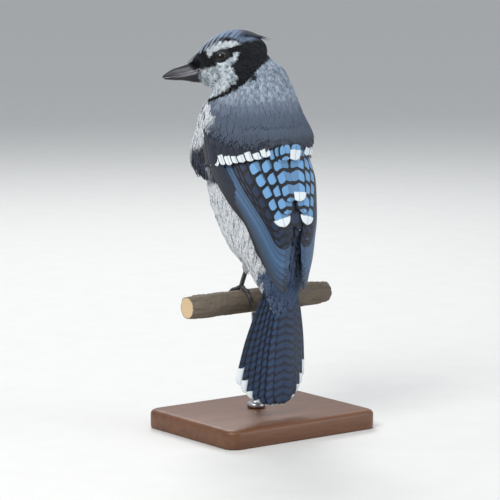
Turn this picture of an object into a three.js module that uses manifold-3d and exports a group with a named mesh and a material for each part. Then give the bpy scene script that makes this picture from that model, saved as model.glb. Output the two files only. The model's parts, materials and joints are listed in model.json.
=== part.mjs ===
// A blue jay at life size, perched upright with its head turned to its left, its wings folded over its back and
// its tail hanging, on a short cut length of branch that a rod and a flat base hold up.
// Millimetres, +Z up. The bird faces +Y and its left side is -X. The origin is the centre of the base's underside.
import * as THREE from "three";
import { mergeVertices } from "three/addons/utils/BufferGeometryUtils.js";
import Module from "manifold-3d";

const wasm = await Module();
wasm.setup();

// Driving sizes

const GAP = 0.3; // left between pieces that touch
const BODY_SIDES = 28;
const TAIL_BOTTOM = 19.5; // the longest tail feather's tip
const TAIL_CUT = 98; // where the rump ends and the tail's coverts begin
const NECK_CUT = 201; // where the shoulders end and the neck begins
const BREAST_OVERHANG = 5.8; // how far the feathers at each side of the breast stand over the belly

const BASE = { length: 116, depth: 92, height: 12, bevel: 1.5, corner: 8 };
const ROD_RADIUS = 3;
const PERCH = { radius: 7.5, y: 6, z: 81.5, left: -54, right: 56, sides: 14 };

const HEAD = { x: -10.6, y: 17.4, z: 235, yaw: 53.13 }; // the yaw turns the bill to the bird's left
const EYE = { along: 6.4, up: 0.6, side: 11.1, radius: 4.2 };
const FOOT_SPREAD = 12; // each foot's distance from the middle
const TARSUS_TOP = 104;

// The trunk and neck, one row for each height: z, the section's centre x and y, its half width, and how far it
// reaches forward and back.
const BODY_ROWS = [
  [71, -3.6, -23.4, 6, 3.2, 3.2],
  [84, -2, -22.5, 10.5, 7, 5.6],
  [96, -0.8, -20, 15, 14, 9],
  [108, 0, -15.5, 20, 25, 14.5],
  [120, 0, -10.2, 24.8, 32, 21],
  [133, 0, -5.7, 28, 36, 26],
  [146, 0, -1, 30, 37.5, 29],
  [157, 0, 2.5, 31.2, 37, 30.5],
  [166, 0, 6, 31.8, 37.5, 31.5],
  [174, 0, 8, 32.2, 38, 32],
  [187, 0, 8.3, 33, 37, 33],
  [197, 0, 9.5, 32.8, 34.4, 33],
  [203, 0, 10, 31, 31.4, 31.2],
  [210, 0.2, 9.6, 28, 27.6, 28.4],
  [219, -0.3, 9.6, 24.6, 23.6, 25.2],
  [228, -1.4, 10.4, 20.8, 19.4, 21.6],
  [237, -4, 12, 14.5, 14, 15],
];

// The surface that the folded wings lie on: z, the section's centre y, half width and depth towards the back.
const WING_BED_ROWS = [
  [86, -13, 15, 20.5],
  [98, -12, 19, 20.5],
  [110, -11, 23.5, 21.5],
  [122, -8.5, 26.4, 24],
  [133, -5.7, 28.7, 26.8],
  [146, -1, 30.7, 29.8],
  [157, 2.5, 31.9, 31.2],
  [174, 8, 32.8, 32.6],
  [187, 8.3, 33.6, 33.6],
  [200, 9.7, 32.6, 33],
];

// The folded wing's lower edge: z, and how far round it is from the middle of the back.
const WING_EDGE_ROWS = [
  [91, 10],
  [112, 22],
  [128, 29],
  [143, 34],
  [157, 43],
  [169, 52],
  [180, 56],
  [195, 56],
];

// The flight feathers of a wing from the back's middle outwards. Each runs from its root by its bend to its tip,
// three places over the wing's bed that say how far round it is and how high. A group's others lie between.
const FLIGHT_GROUPS = [
  { count: 3, width: 13.5, first: [[17, 184], [7, 166], [4.4, 150]], last: [[29, 184], [12.5, 158], [4.8, 131]] },
  { count: 4, width: 11.5, first: [[34, 183], [15, 154], [5, 126]], last: [[44, 178], [19.5, 147], [6, 111]] },
  { count: 3, width: 10, first: [[46.5, 176], [20.5, 145], [6.5, 105]], last: [[49, 174], [22.5, 143], [7.5, 91.5]] },
  { count: 2, width: 9, first: [[50, 173], [24, 143], [12, 100]], last: [[50.5, 172], [25.5, 143], [18, 112]] },
];

// The coverts over the roots of the flight feathers, and those along the wing's lower edge.
const COVERT_GROUPS = [
  { count: 7, width: 9.4, lift: 3.6, first: [[9, 189], [7, 182], [5.5, 175.5]], last: [[54, 186], [51, 180], [48, 174]] },
  { count: 2, width: 8, lift: 2.6, first: [[50, 181], [44, 168], [36, 156]], last: [[54, 178], [50, 165], [42, 154]] },
];

// The head's feathered outline: distance along the head, crown, throat and half width.
const HEAD_ROWS = [
  [-22, 4, -6, 3],
  [-20.5, 8.2, -10, 8],
  [-17, 12.4, -14, 12.3],
  [-11, 15.6, -17, 15.2],
  [-4, 16.8, -19, 16.2],
  [3, 16, -20, 15.7],
  [10, 13.2, -20, 13.9],
  [16, 8.8, -18.6, 11.4],
  [21, 4.2, -17, 8.4],
  [25, -0.4, -16, 5.6],
];

// The bill: distance along the head, half width, culmen, line of the mouth and lower edge.
const BILL_ROWS = [
  [19.5, 5, -1.6, -8.1, -16],
  [24, 4.7, -2.6, -9.2, -15.8],
  [28, 4.1, -4.2, -10.3, -15],
  [32, 3.4, -5.6, -11.2, -14.6],
  [36, 2.5, -7, -11.9, -14.5],
  [40, 1.5, -9.2, -12.6, -14.2],
  [42.8, 0.7, -11.3, -13, -13.9],
  [43.8, 0.3, -12.5, -13.1, -13.5],
];
const LOWER_BILL_END = 42.6;

// Solids and smooth curves

// A function that runs smoothly through rows of numbers, by their first column, without overshooting them.
function through(rows) {
  const slope = (i, c) => {
    if (i === 0 || i === rows.length - 1) return 0;
    const before = (rows[i][c] - rows[i - 1][c]) / (rows[i][0] - rows[i - 1][0]);
    const after = (rows[i + 1][c] - rows[i][c]) / (rows[i + 1][0] - rows[i][0]);
    return before * after <= 0 ? 0 : (2 * before * after) / (before + after);
  };
  return (x) => {
    const last = rows.length - 2;
    let i = 0;
    while (i < last && x > rows[i + 1][0]) i++;
    const span = rows[i + 1][0] - rows[i][0];
    const t = Math.min(1, Math.max(0, (x - rows[i][0]) / span));
    const t2 = t * t;
    const t3 = t2 * t;
    return rows[i].slice(1).map((_, k) => {
      const c = k + 1;
      return (
        (2 * t3 - 3 * t2 + 1) * rows[i][c] +
        (t3 - 2 * t2 + t) * span * slope(i, c) +
        (3 * t2 - 2 * t3) * rows[i + 1][c] +
        (t3 - t2) * span * slope(i + 1, c)
      );
    });
  };
}

const mix = (a, b, t) => a + (b - a) * t;
const steps = (count) => Array.from({ length: count + 1 }, (_, i) => i / count);
const radians = THREE.MathUtils.degToRad;
const smooth = (t) => {
  const held = Math.min(1, Math.max(0, t));
  return held * held * (3 - 2 * held);
};

// A manifold-3d solid from points and triangles, turned the right way out.
function solidFrom(points, triangles) {
  const geometry = new THREE.BufferGeometry();
  geometry.setAttribute("position", new THREE.Float32BufferAttribute(points.flat(), 3));
  geometry.setIndex(triangles.flat());
  return solidOf(geometry);
}

function solidOf(geometry) {
  const bare = geometry.clone();
  bare.deleteAttribute("normal");
  bare.deleteAttribute("uv");
  const merged = mergeVertices(bare, 1e-4);
  const build = (triVerts) =>
    new wasm.Manifold(
      new wasm.Mesh({ numProp: 3, vertProperties: merged.attributes.position.array, triVerts }),
    );
  const triVerts = new Uint32Array(merged.index.array);
  const made = build(triVerts);
  if (made.volume() > 0) return made;
  for (let i = 0; i < triVerts.length; i += 3) {
    [triVerts[i + 1], triVerts[i + 2]] = [triVerts[i + 2], triVerts[i + 1]];
  }
  return build(triVerts);
}

function geometryOf(solid) {
  const mesh = solid.getMesh();
  const points = [];
  for (let i = 0; i < mesh.numVert; i++) {
    points.push(...mesh.vertProperties.subarray(i * mesh.numProp, i * mesh.numProp + 3));
  }
  const geometry = new THREE.BufferGeometry();
  geometry.setAttribute("position", new THREE.Float32BufferAttribute(points, 3));
  geometry.setIndex([...mesh.triVerts]);
  geometry.computeVertexNormals();
  return geometry;
}

// The solid between rings of as many points each, closed by a fan at both ends.
function loft(rings) {
  const sides = rings[0].length;
  const points = rings.flat();
  const triangles = [];
  for (let r = 0; r < rings.length - 1; r++) {
    for (let k = 0; k < sides; k++) {
      const a = r * sides + k;
      const b = r * sides + ((k + 1) % sides);
      triangles.push([a, b, b + sides], [a, b + sides, a + sides]);
    }
  }
  for (const [r, flip] of [
    [0, true],
    [rings.length - 1, false],
  ]) {
    const centre = points.length;
    points.push([0, 1, 2].map((c) => rings[r].reduce((sum, p) => sum + p[c], 0) / sides));
    for (let k = 0; k < sides; k++) {
      const a = r * sides + k;
      const b = r * sides + ((k + 1) % sides);
      triangles.push(flip ? [b, a, centre] : [a, b, centre]);
    }
  }
  return solidFrom(points, triangles);
}

// A thin plate between two grids of points, split into the same triangles on both faces.
function plate(top, bottom) {
  const rows = top.length;
  const columns = top[0].length;
  const points = [...top.flat(), ...bottom.flat()];
  const under = rows * columns;
  const triangles = [];
  for (let r = 0; r < rows - 1; r++) {
    for (let c = 0; c < columns - 1; c++) {
      const a = r * columns + c;
      const b = a + 1;
      const d = a + columns;
      const e = d + 1;
      triangles.push([a, b, e], [a, e, d]);
      triangles.push([under + e, under + b, under + a], [under + d, under + e, under + a]);
    }
  }
  const rim = [];
  for (let c = 0; c < columns - 1; c++) rim.push(c);
  for (let r = 0; r < rows - 1; r++) rim.push(r * columns + columns - 1);
  for (let c = columns - 1; c > 0; c--) rim.push((rows - 1) * columns + c);
  for (let r = rows - 1; r > 0; r--) rim.push(r * columns);
  rim.forEach((a, i) => {
    const b = rim[(i + 1) % rim.length];
    triangles.push([b, a, under + a], [b, under + a, under + b]);
  });
  return solidFrom(points, triangles);
}

const join = (solids) => solids.reduce((all, one) => all.add(one));
const largest = (solid) => solid.decompose().reduce((a, b) => (a.volume() > b.volume() ? a : b));

function ball(radius, at, stretch = [1, 1, 1], detail = 14) {
  const geometry = new THREE.SphereGeometry(radius, detail, Math.round(detail * 0.7));
  geometry.scale(...stretch).translate(...at);
  return solidOf(geometry);
}

// A round rod through points, with one radius for each of them.
function rod(path, radii, sides) {
  const rings = path.map((p, i) => {
    const before = new THREE.Vector3(...path[Math.max(0, i - 1)]);
    const after = new THREE.Vector3(...path[Math.min(path.length - 1, i + 1)]);
    const along = after.sub(before).normalize();
    const across = new THREE.Vector3(1, 0, 0).addScaledVector(along, -along.x).normalize();
    const up = along.clone().cross(across);
    return Array.from({ length: sides }, (_, k) => {
      const turn = (2 * Math.PI * k) / sides;
      const point = new THREE.Vector3(...p);
      point.addScaledVector(across, radii[i] * Math.cos(turn));
      point.addScaledVector(up, radii[i] * Math.sin(turn));
      return point.toArray();
    });
  });
  return loft(rings);
}

// Trunk and neck

const bodyAt = through(BODY_ROWS);

function bodyRing(z, grow) {
  const [x, y, half, front, back] = bodyAt(z);
  const overhang = BREAST_OVERHANG * smooth((z - 155) / 8) * smooth((199 - z) / 26);
  return Array.from({ length: BODY_SIDES }, (_, k) => {
    const turn = (2 * Math.PI * k) / BODY_SIDES;
    const lobe = [37, 143].reduce((sum, at) => sum + Math.exp(-(((turn - radians(at)) / 0.42) ** 2)), 0);
    const more = grow + overhang * lobe;
    const reach = (Math.sin(turn) > 0 ? front : back) + more;
    return [x + (half + more) * Math.cos(turn), y + reach * Math.sin(turn), z];
  });
}

function bodySolid(grow) {
  const low = BODY_ROWS[0][0] - grow;
  const high = BODY_ROWS.at(-1)[0] + grow;
  return loft(steps(24).map((t) => bodyRing(mix(low, high, t), grow)));
}

// The head, in its own frame: along the bill, to its right side, and up

const headAt = through(HEAD_ROWS);
const yaw = radians(HEAD.yaw);
const headPoint = (along, side, up) => [
  HEAD.x - along * Math.sin(yaw) + side * Math.cos(yaw),
  HEAD.y + along * Math.cos(yaw) + side * Math.sin(yaw),
  HEAD.z + up,
];

function headRing(along) {
  const [crown, throat, half] = headAt(along);
  const sides = 20;
  return Array.from({ length: sides }, (_, k) => {
    const turn = (2 * Math.PI * k) / sides;
    const up = (crown + throat) / 2 + ((crown - throat) / 2) * Math.sin(turn);
    return headPoint(along, half * Math.cos(turn), up);
  });
}

const skull = () => {
  const [back, front] = [HEAD_ROWS[0][0], HEAD_ROWS.at(-1)[0]];
  return loft(steps(13).map((t) => headRing(mix(back, front, t))));
};

// A point over the crown, or past it over the laid crest.
function overCrown(along, side, out) {
  const held = Math.max(along, -15);
  const [crown, throat, half] = headAt(held);
  const drop = ((crown - throat) / 2) * (1 - Math.sqrt(Math.max(0.2, 1 - (side / half) ** 2)));
  return headPoint(along, side, crown - drop - 0.25 * (held - along) + out);
}

// A feather on the head. Its function lays out a point by the share of its length, its place across and its lift.
function headFeather(lie, width, thickness) {
  const stations = [
    [0, 0.5],
    [0.3, 1],
    [0.7, 0.85],
    [1, 0.18],
  ];
  const face = (sunk) =>
    stations.map(([t, share]) =>
      [-1, 0, 1].map((edge) => {
        const camber = 0.3 * (1 - edge * edge);
        return lie(t, (edge * width * share) / 2, camber - sunk * (t < 1 ? 1 : 0.6));
      }),
    );
  return plate(face(0), face(thickness));
}

// The crest, laid back: rows of feathers from the forehead to the nape, the last ones past the head.
function crestFeathers() {
  const rows = [
    { root: 15, tip: -3, count: 3, spread: 6, lift: 0.5 },
    { root: 7, tip: -13, count: 3, spread: 8, lift: 0.7 },
    { root: -2, tip: -24, count: 4, spread: 8.5, lift: 0.9 },
  ];
  return rows.flatMap(({ root, tip, count, spread, lift }) =>
    steps(count - 1).map((place) => {
      const lean = 2 * place - 1;
      const end = tip + 5 * lean * lean;
      const lie = (t, across, out) => {
        const side = lean * spread * (1 - 0.55 * t * t) + across;
        return overCrown(mix(root, end, t), side, mix(-0.9, lift, smooth(1.6 * t)) + out);
      };
      return headFeather(lie, 7.5, 0.9);
    }),
  );
}

// The bristly feathers that lie forward over the root of the bill and hide the nostrils.
function nasalTufts() {
  return [-1, 1].flatMap((side) =>
    [0, 1, 2].map((k) => {
      const root = [18.5, side * (1.6 + 2 * k), 4.4 - 2.6 * k];
      const tip = [30 - 1.3 * k, side * (0.9 + 1.5 * k), -4.1 - 1.5 * k];
      const lie = (t, across, out) => {
        const [along, aside, up] = root.map((from, c) => mix(from, tip[c], t));
        return headPoint(along, aside + across, up + 0.9 * Math.sin(Math.PI * t) + out);
      };
      return headFeather(lie, 3.6, 1.1);
    }),
  );
}

const billAt = through(BILL_ROWS);

// One half of the bill, from its flat at the mouth's line to its rounded edge.
function billSolid(from, to, count, section) {
  const sides = 12;
  return loft(
    steps(count).map((t) => {
      const along = mix(from, to, t);
      const { half, flat, round } = section(billAt(along));
      return Array.from({ length: sides }, (_, k) => {
        const turn = (2 * Math.PI * k) / sides;
        const outward = Math.max(0, Math.sin(turn));
        return headPoint(along, half * Math.cos(turn), mix(flat, round, outward));
      });
    }),
  );
}

const upperBill = () =>
  billSolid(BILL_ROWS[0][0], BILL_ROWS.at(-1)[0], 9, ([half, culmen, mouth]) => ({
    half,
    flat: mouth + GAP / 2,
    round: culmen,
  }));

const lowerBill = () =>
  billSolid(BILL_ROWS[0][0], LOWER_BILL_END, 8, ([half, , mouth, edge]) => ({
    half: half * 0.94,
    flat: mouth - GAP / 2,
    round: Math.min(edge, mouth - 0.5),
  }));

// The room for the bill in the front of the head.
function billSocket() {
  const sides = 12;
  const grow = GAP + 0.1;
  const [from, to] = [BILL_ROWS[0][0] - grow, BILL_ROWS.at(-1)[0] + grow];
  return loft(
    steps(9).map((t) => {
      const along = mix(from, to, t);
      const [half, culmen, , edge] = billAt(along);
      const [middle, tall] = [(culmen + edge) / 2, (culmen - edge) / 2 + grow];
      return Array.from({ length: sides }, (_, k) => {
        const turn = (2 * Math.PI * (k + 0.5)) / sides;
        const square = 1.12; // fuller than a round section, to clear the bill's own corners
        return headPoint(
          along,
          (half + grow) * Math.max(-1, Math.min(1, square * Math.cos(turn))),
          middle + tall * Math.max(-1, Math.min(1, square * Math.sin(turn))),
        );
      });
    }),
  );
}

// A ball or a ring set on the side of the head.
const sideTurn = new THREE.Matrix4().makeRotationZ(yaw);
function onHead(geometry, along, side, up) {
  geometry.applyMatrix4(sideTurn);
  return solidOf(geometry.translate(...headPoint(along, side, up)));
}

function lid(side) {
  const ring = new THREE.TorusGeometry(EYE.radius * 0.9, 0.8, 5, 13);
  ring.rotateY(Math.PI / 2);
  return onHead(ring, EYE.along, side * 13.7, EYE.up);
}

function eyeball(side, grow) {
  const eye = new THREE.SphereGeometry(EYE.radius + grow, 12, 9);
  return onHead(eye, EYE.along, side * EYE.side, EYE.up);
}

function eyeHollow(side) {
  const dish = new THREE.SphereGeometry(8, 12, 9);
  return onHead(dish, EYE.along, side * 21.4, EYE.up);
}

// The corner of the mouth, a groove that runs back from the bill under the eye.
function gape(side) {
  const groove = new THREE.SphereGeometry(1, 10, 6);
  groove.scale(1.1, 7.5, 0.5);
  groove.rotateX(-radians(11));
  return onHead(groove, 17.5, side * 10.6, -7.4);
}

function headSolid(whole) {
  let head = join([whole, ...crestFeathers(), ...nasalTufts()]);
  for (const side of [-1, 1]) {
    head = head.subtract(eyeHollow(side)).add(lid(side));
    head = head.subtract(eyeball(side, GAP)).subtract(gape(side));
  }
  return largest(head.subtract(billSocket()));
}

function nostril(side) {
  const pit = new THREE.SphereGeometry(1, 8, 6);
  pit.scale(0.7, 1.7, 0.8);
  return onHead(pit, 27.6, side * 3.9, -7.2);
}

// The folded wings

const wingBedAt = through(WING_BED_ROWS);

const wingEdgeAt = through(WING_EDGE_ROWS);

// A point over the wing's bed: so far round from the middle of the back, at a height, and so far out.
function wingPoint(side, round, z, out) {
  const [y, half, back] = wingBedAt(z);
  const turn = (2 * round) / (half + back);
  return [side * (half + out) * Math.sin(turn), y - (back + out) * Math.cos(turn), z];
}

const VANE_SHAPES = {
  long: [
    [0, 0.55],
    [0.45, 1],
    [0.87, 0.88],
    [1, 0.25],
  ],
  short: [
    [0, 0.7],
    [0.5, 1],
    [0.85, 0.85],
    [1, 0.3],
  ],
};

// A wing feather along its root, bend and tip. Its outer edge is raised over the next feather out, its inner edge
// lies under the one before, and its root is sunk.
function wingVane(side, { path, width, lift, tilt, thickness, shape }) {
  const [root, bend, tip] = path;
  const along = (t, c) => (1 - t) ** 2 * root[c] + 2 * t * (1 - t) * bend[c] + t * t * tip[c];
  const slope = (t, c) => (1 - t) * (bend[c] - root[c]) + t * (tip[c] - bend[c]);
  const face = (sunk) =>
    VANE_SHAPES[shape].map(([t, share]) => {
      const norm = Math.hypot(slope(t, 0), slope(t, 1));
      const raised = mix(0.9, lift, smooth(2.2 * t)) - sunk;
      return [-1, 0, 1].map((edge) => {
        const across = (edge * width * share) / 2;
        const round = along(t, 0) - (across * slope(t, 1)) / norm;
        return wingPoint(side, round, along(t, 1) + (across * slope(t, 0)) / norm, raised + tilt * across);
      });
    });
  return plate(face(0), face(thickness));
}

// The feathers of a group, each with its place in it from 0 to 1.
const members = ({ count, first, last, ...rest }) =>
  steps(count - 1).map((share) => ({
    ...rest,
    share,
    path: first.map((from, i) => from.map((value, c) => mix(value, last[i][c], share))),
  }));

// The wing's arm, a low mound over the bed that the feathers' roots are sunk in.
function wingArm(side) {
  const face = (height) =>
    steps(5).map((v) =>
      steps(7).map((u) => {
        const z = mix(193, 156, v);
        const swell = smooth(v / 0.4) * smooth((1 - v) / 0.3);
        const edge = smooth(u / 0.12) * smooth((1 - u) / 0.14);
        return wingPoint(side, mix(2.5, wingEdgeAt(z)[0] - 1, u), z, height(swell * edge));
      }),
    );
  return plate(
    face((swell) => 0.6 + 2.2 * swell),
    face(() => -1.5),
  );
}

function flightFeathers() {
  const feathers = FLIGHT_GROUPS.flatMap(members);
  return feathers.map((feather, i) => ({
    ...feather,
    lift: mix(3.6, 1.5, i / (feathers.length - 1)),
    tilt: 0.12,
    thickness: 0.75,
    shape: "long",
  }));
}

const coverts = () =>
  COVERT_GROUPS.flatMap(members).map((feather) => ({
    ...feather,
    lift: feather.lift - 0.9 * feather.share,
    tilt: 0.08,
    thickness: 0.9,
    shape: "short",
  }));

function wingSolid(side) {
  const vanes = [...flightFeathers(), ...coverts()].map((f) => wingVane(side, f));
  const room = trunkRoom.add(cape(side, GAP));
  const wing = join([wingArm(side), ...vanes]).subtract(room);
  return largest(wing.trimByPlane([side, 0, 0], 0.25));
}

// The shoulder feathers, a cape that comes out of the trunk and hangs over the top of each wing.
function cape(side, grow) {
  const face = (outAt, more) =>
    steps(5).map((v) =>
      steps(9).map((u) => {
        const round = mix(0.6 - more, 45 + more, u);
        const hem = 183.5 + 9 * smooth((u - 0.72) / 0.28) + 0.7 * Math.cos(u * 36);
        return wingPoint(side, round, mix(200, hem - more, v), outAt(v));
      }),
    );
  return plate(
    face((v) => mix(0.2, 4.4, smooth(1.15 * v)) + grow, grow),
    face((v) => mix(-2.2, 3.3, smooth(1.1 * v)) - grow, grow),
  );
}

// The tail, twelve feathers under a roof of which the middle pair is the ridge

const TAIL = { apex: 150, root: 93, width: 14, roof: 0.0075, y: -23.4, swing: 0.085 };

// A point on the tail: so far to one side of its middle, at a height, and so far out from its upper face.
const tailPoint = (across, z, out) => [
  across - TAIL.swing * (108 - z),
  TAIL.y + TAIL.roof * across * across - out,
  z,
];

function tailVane(side, rank) {
  const fan = side * (0.023 + 0.032 * rank);
  const tip = TAIL_BOTTOM + 0.55 * rank ** 2;
  const lift = 2.2 - 0.75 * rank + (side > 0 && rank === 0 ? 1 : 0);
  const face = (sunk) =>
    [
      [0, 0.42],
      [0.25, 0.75],
      [0.6, 1],
      [0.86, 0.95],
      [0.965, 0.62],
      [1, 0.25],
    ].map(([t, share]) => {
      const z = mix(TAIL.root, tip, t);
      return [-1, 0, 1].map((edge) => {
        const across = (edge * TAIL.width * share) / 2;
        return tailPoint(fan * (TAIL.apex - z) + across, z - fan * across, lift + 0.06 * side * across - sunk);
      });
    });
  return plate(face(0), face(0.7));
}

function tailSolid(coverts) {
  const vanes = [-1, 1].flatMap((side) => [0, 1, 2, 3, 4, 5].map((rank) => tailVane(side, rank)));
  return largest(join([coverts, ...vanes]));
}

// Legs and feet

const tarsusPoint = (side, t) => [side * (FOOT_SPREAD + 0.9 * t), PERCH.y - 15 * t, 91.3 + 29 * t];

function thigh(side) {
  const low = (TARSUS_TOP - 91.3) / 29;
  const path = [low, low + 0.2, low + 0.45, low + 0.75].map((t) => tarsusPoint(side, t));
  return largest(rod(path, [2.9, 4.6, 6.6, 8.5], 14).subtract(trunkRoom));
}

// A toe that bends over the branch, with its claw. The turns are in degrees from the top of the branch.
function toe(x, splay, from, to, radius) {
  const lie = (turn, thick, share) => {
    const reach = PERCH.radius + GAP + 0.1 + thick;
    const angle = radians(turn);
    return [
      x + splay * share,
      PERCH.y + reach * Math.sin(angle),
      PERCH.z + reach * Math.cos(angle),
    ];
  };
  const joints = steps(5);
  const toeRadii = joints.map((t) => radius * (1 - 0.2 * t) * (1 + 0.07 * Math.cos(5 * Math.PI * t)));
  const clawTurn = Math.sign(to - from) * 42;
  const claws = [0, 0.5, 1];
  const clawRadii = claws.map((t) => radius * 0.62 * (1 - t) + 0.22);
  const toePath = joints.map((t, i) => lie(mix(from, to, t), toeRadii[i], t));
  const clawPath = claws.map((t, i) =>
    lie(to - 4 * Math.sign(to - from) + clawTurn * t, clawRadii[i] + 0.5 * Math.sin(Math.PI * t), 1 + 0.15 * t),
  );
  return rod(toePath, toeRadii, 6).add(rod(clawPath, clawRadii, 5));
}

// The scaled shank, whose scutes are low steps round its front.
function tarsus(side) {
  const high = (TARSUS_TOP - GAP - 91.3) / 29;
  const scutes = 5;
  const places = Array.from({ length: 2 * scutes }, (_, i) => {
    const scute = Math.floor(i / 2);
    return high * ((scute + (i % 2) * 0.92) / (scutes - 0.08));
  });
  const radii = places.map((_, i) => (i % 2 ? 1.35 : 1.6));
  return rod(
    places.map((t) => tarsusPoint(side, t)),
    radii,
    8,
  );
}

function footSolid(side) {
  const x = side * FOOT_SPREAD;
  const pad = ball(3, [x, PERCH.y, 91.1], [1, 1.05, 0.52], 8);
  const toes = [
    toe(x, -side * 5.5, 8, 82, 1.25),
    toe(x, side * 0.6, 4, 98, 1.35),
    toe(x, side * 6.5, 8, 84, 1.25),
    toe(x, -side * 0.8, -8, -82, 1.45),
  ];
  return largest(join([tarsus(side), pad, ...toes]));
}

// Branch and stand

// A slightly knotty branch, round and true where the feet are.
function branch(grow) {
  const knots = [
    { at: -38, turn: 2.2, size: 1.1 },
    { at: 33, turn: 4.4, size: 0.9 },
  ];
  const rings = steps(11).map((t) => {
    const x = mix(PERCH.left - grow, PERCH.right + grow, t);
    const end = 0.8 * smooth((Math.abs(x) - 47) / 9);
    return Array.from({ length: PERCH.sides }, (_, k) => {
      const turn = (2 * Math.PI * k) / PERCH.sides;
      const swell = knots.reduce((sum, knot) => {
        const away = ((x - knot.at) / 5) ** 2 + ((1 - Math.cos(turn - knot.turn)) / 0.35) ** 2;
        return sum + knot.size * Math.exp(-away);
      }, 0);
      const reach = PERCH.radius - end + swell + grow;
      return [x, PERCH.y + reach * Math.sin(turn), PERCH.z + reach * Math.cos(turn)];
    });
  });
  return loft(rings);
}

function standRod() {
  const geometry = new THREE.CylinderGeometry(ROD_RADIUS, ROD_RADIUS, PERCH.z - BASE.height - GAP, 20);
  geometry.rotateX(Math.PI / 2);
  geometry.translate(0, PERCH.y, (PERCH.z + BASE.height + GAP) / 2);
  return largest(solidOf(geometry).subtract(branch(GAP)));
}

function standBase() {
  const { length, depth, height, bevel, corner } = BASE;
  const [x, y] = [length / 2 - bevel, depth / 2 - bevel];
  const outline = new THREE.Shape();
  outline.moveTo(-x + corner, -y);
  outline.lineTo(x - corner, -y).absarc(x - corner, -y + corner, corner, -Math.PI / 2, 0);
  outline.lineTo(x, y - corner).absarc(x - corner, y - corner, corner, 0, Math.PI / 2);
  outline.lineTo(-x + corner, y).absarc(-x + corner, y - corner, corner, Math.PI / 2, Math.PI);
  outline.lineTo(-x, -y + corner).absarc(-x + corner, -y + corner, corner, Math.PI, 1.5 * Math.PI);
  const geometry = new THREE.ExtrudeGeometry(outline, {
    depth: height - 2 * bevel,
    bevelThickness: bevel,
    bevelSize: bevel,
    bevelSegments: 1,
    curveSegments: 5,
  });
  geometry.translate(0, 0, bevel);
  return solidOf(geometry);
}

// Parting the flesh: the head from the neck along the line of the collar, and the trunk from neck and tail

const collar = (() => {
  const throat = new THREE.Vector3(...headPoint(16.5, 0, -23));
  const nape = new THREE.Vector3(...headPoint(-23.5, 0, 1.5));
  const across = new THREE.Vector3(...headPoint(0, 1, 0)).sub(new THREE.Vector3(...headPoint(0, 0, 0)));
  const normal = nape.clone().sub(throat).cross(across).normalize();
  if (normal.z < 0) normal.negate();
  return { normal: normal.toArray(), at: normal.dot(throat) };
})();

function keepSide(solid, normal, at, sign) {
  const facing = normal.map((n) => n * sign);
  return solid.trimByPlane(facing, at * sign + GAP / 2);
}

const flesh = bodySolid(0).add(skull());
const trunkRoom = bodySolid(GAP + 0.1);
const aboveCollar = largest(keepSide(flesh, collar.normal, collar.at, 1));
const belowCollar = largest(keepSide(flesh, collar.normal, collar.at, -1));
const levelUp = [0, 0, 1];
const neck = largest(keepSide(belowCollar, levelUp, NECK_CUT, 1));
const belowNeck = keepSide(belowCollar, levelUp, NECK_CUT, -1);
const trunk = largest(keepSide(belowNeck, levelUp, TAIL_CUT, 1));
const torso = largest(join([trunk, cape(-1, 0), cape(1, 0)]));
const tailCoverts = largest(keepSide(belowNeck, levelUp, TAIL_CUT, -1));

// Colours, and the group of named pieces

const finish = (color, roughness, metalness = 0) =>
  new THREE.MeshStandardMaterial({ color, roughness, metalness });

const MATERIALS = {
  headFeathers: finish("#6f86a8", 0.8),
  mantleFeathers: finish("#6b7486", 0.85),
  wingFeathers: finish("#3f6390", 0.6),
  tailFeathers: finish("#35577f", 0.6),
  bill: finish("#3a3a40", 0.35),
  eye: finish("#0e0c0b", 0.08),
  leg: finish("#d4d6da", 0.85),
  foot: finish("#2c2b2d", 0.55),
  bark: finish("#6d5c4a", 0.9),
  steel: finish("#8c8f93", 0.35, 1),
  wood: finish("#5b3a24", 0.5),
};

const wholeBird = new THREE.Group();
function place(name, solid, material) {
  const mesh = new THREE.Mesh(geometryOf(solid), material);
  mesh.name = name;
  wholeBird.add(mesh);
}

place("head", headSolid(aboveCollar), MATERIALS.headFeathers);
place("neck", neck, MATERIALS.mantleFeathers);
place("torso", torso, MATERIALS.mantleFeathers);
place("tail", tailSolid(tailCoverts), MATERIALS.tailFeathers);
place("bill_upper", upperBill().subtract(nostril(-1)).subtract(nostril(1)), MATERIALS.bill);
place("bill_lower", lowerBill(), MATERIALS.bill);
for (const [word, side] of [
  ["left", -1],
  ["right", 1],
]) {
  place(`eye_${word}`, eyeball(side, 0), MATERIALS.eye);
  place(`wing_${word}`, wingSolid(side), MATERIALS.wingFeathers);
  place(`leg_${word}`, thigh(side), MATERIALS.leg);
  place(`foot_${word}`, footSolid(side), MATERIALS.foot);
}
place("perch", branch(0), MATERIALS.bark);
place("stand_rod", standRod(), MATERIALS.steel);
place("stand_base", standBase(), MATERIALS.wood);

export default wholeBird;
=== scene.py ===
# %% [markdown]
# A life-size blue jay on its display stand.
# A museum model of a songbird has three layers: a body shape, a coat of small feathers that lies along
# it, and the big feathers of wings and tail. Each could be sculpted by hand. Here each follows a few
# rows of sizes in millimetres, the same rows that the solid model is built from, so the coat fits the
# solids by itself.

# %% Load the frame
import json
import math
from functools import partial
from types import SimpleNamespace
import bpy
import bmesh
import numpy as np
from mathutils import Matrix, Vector
from mathutils.bvhtree import BVHTree

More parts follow.
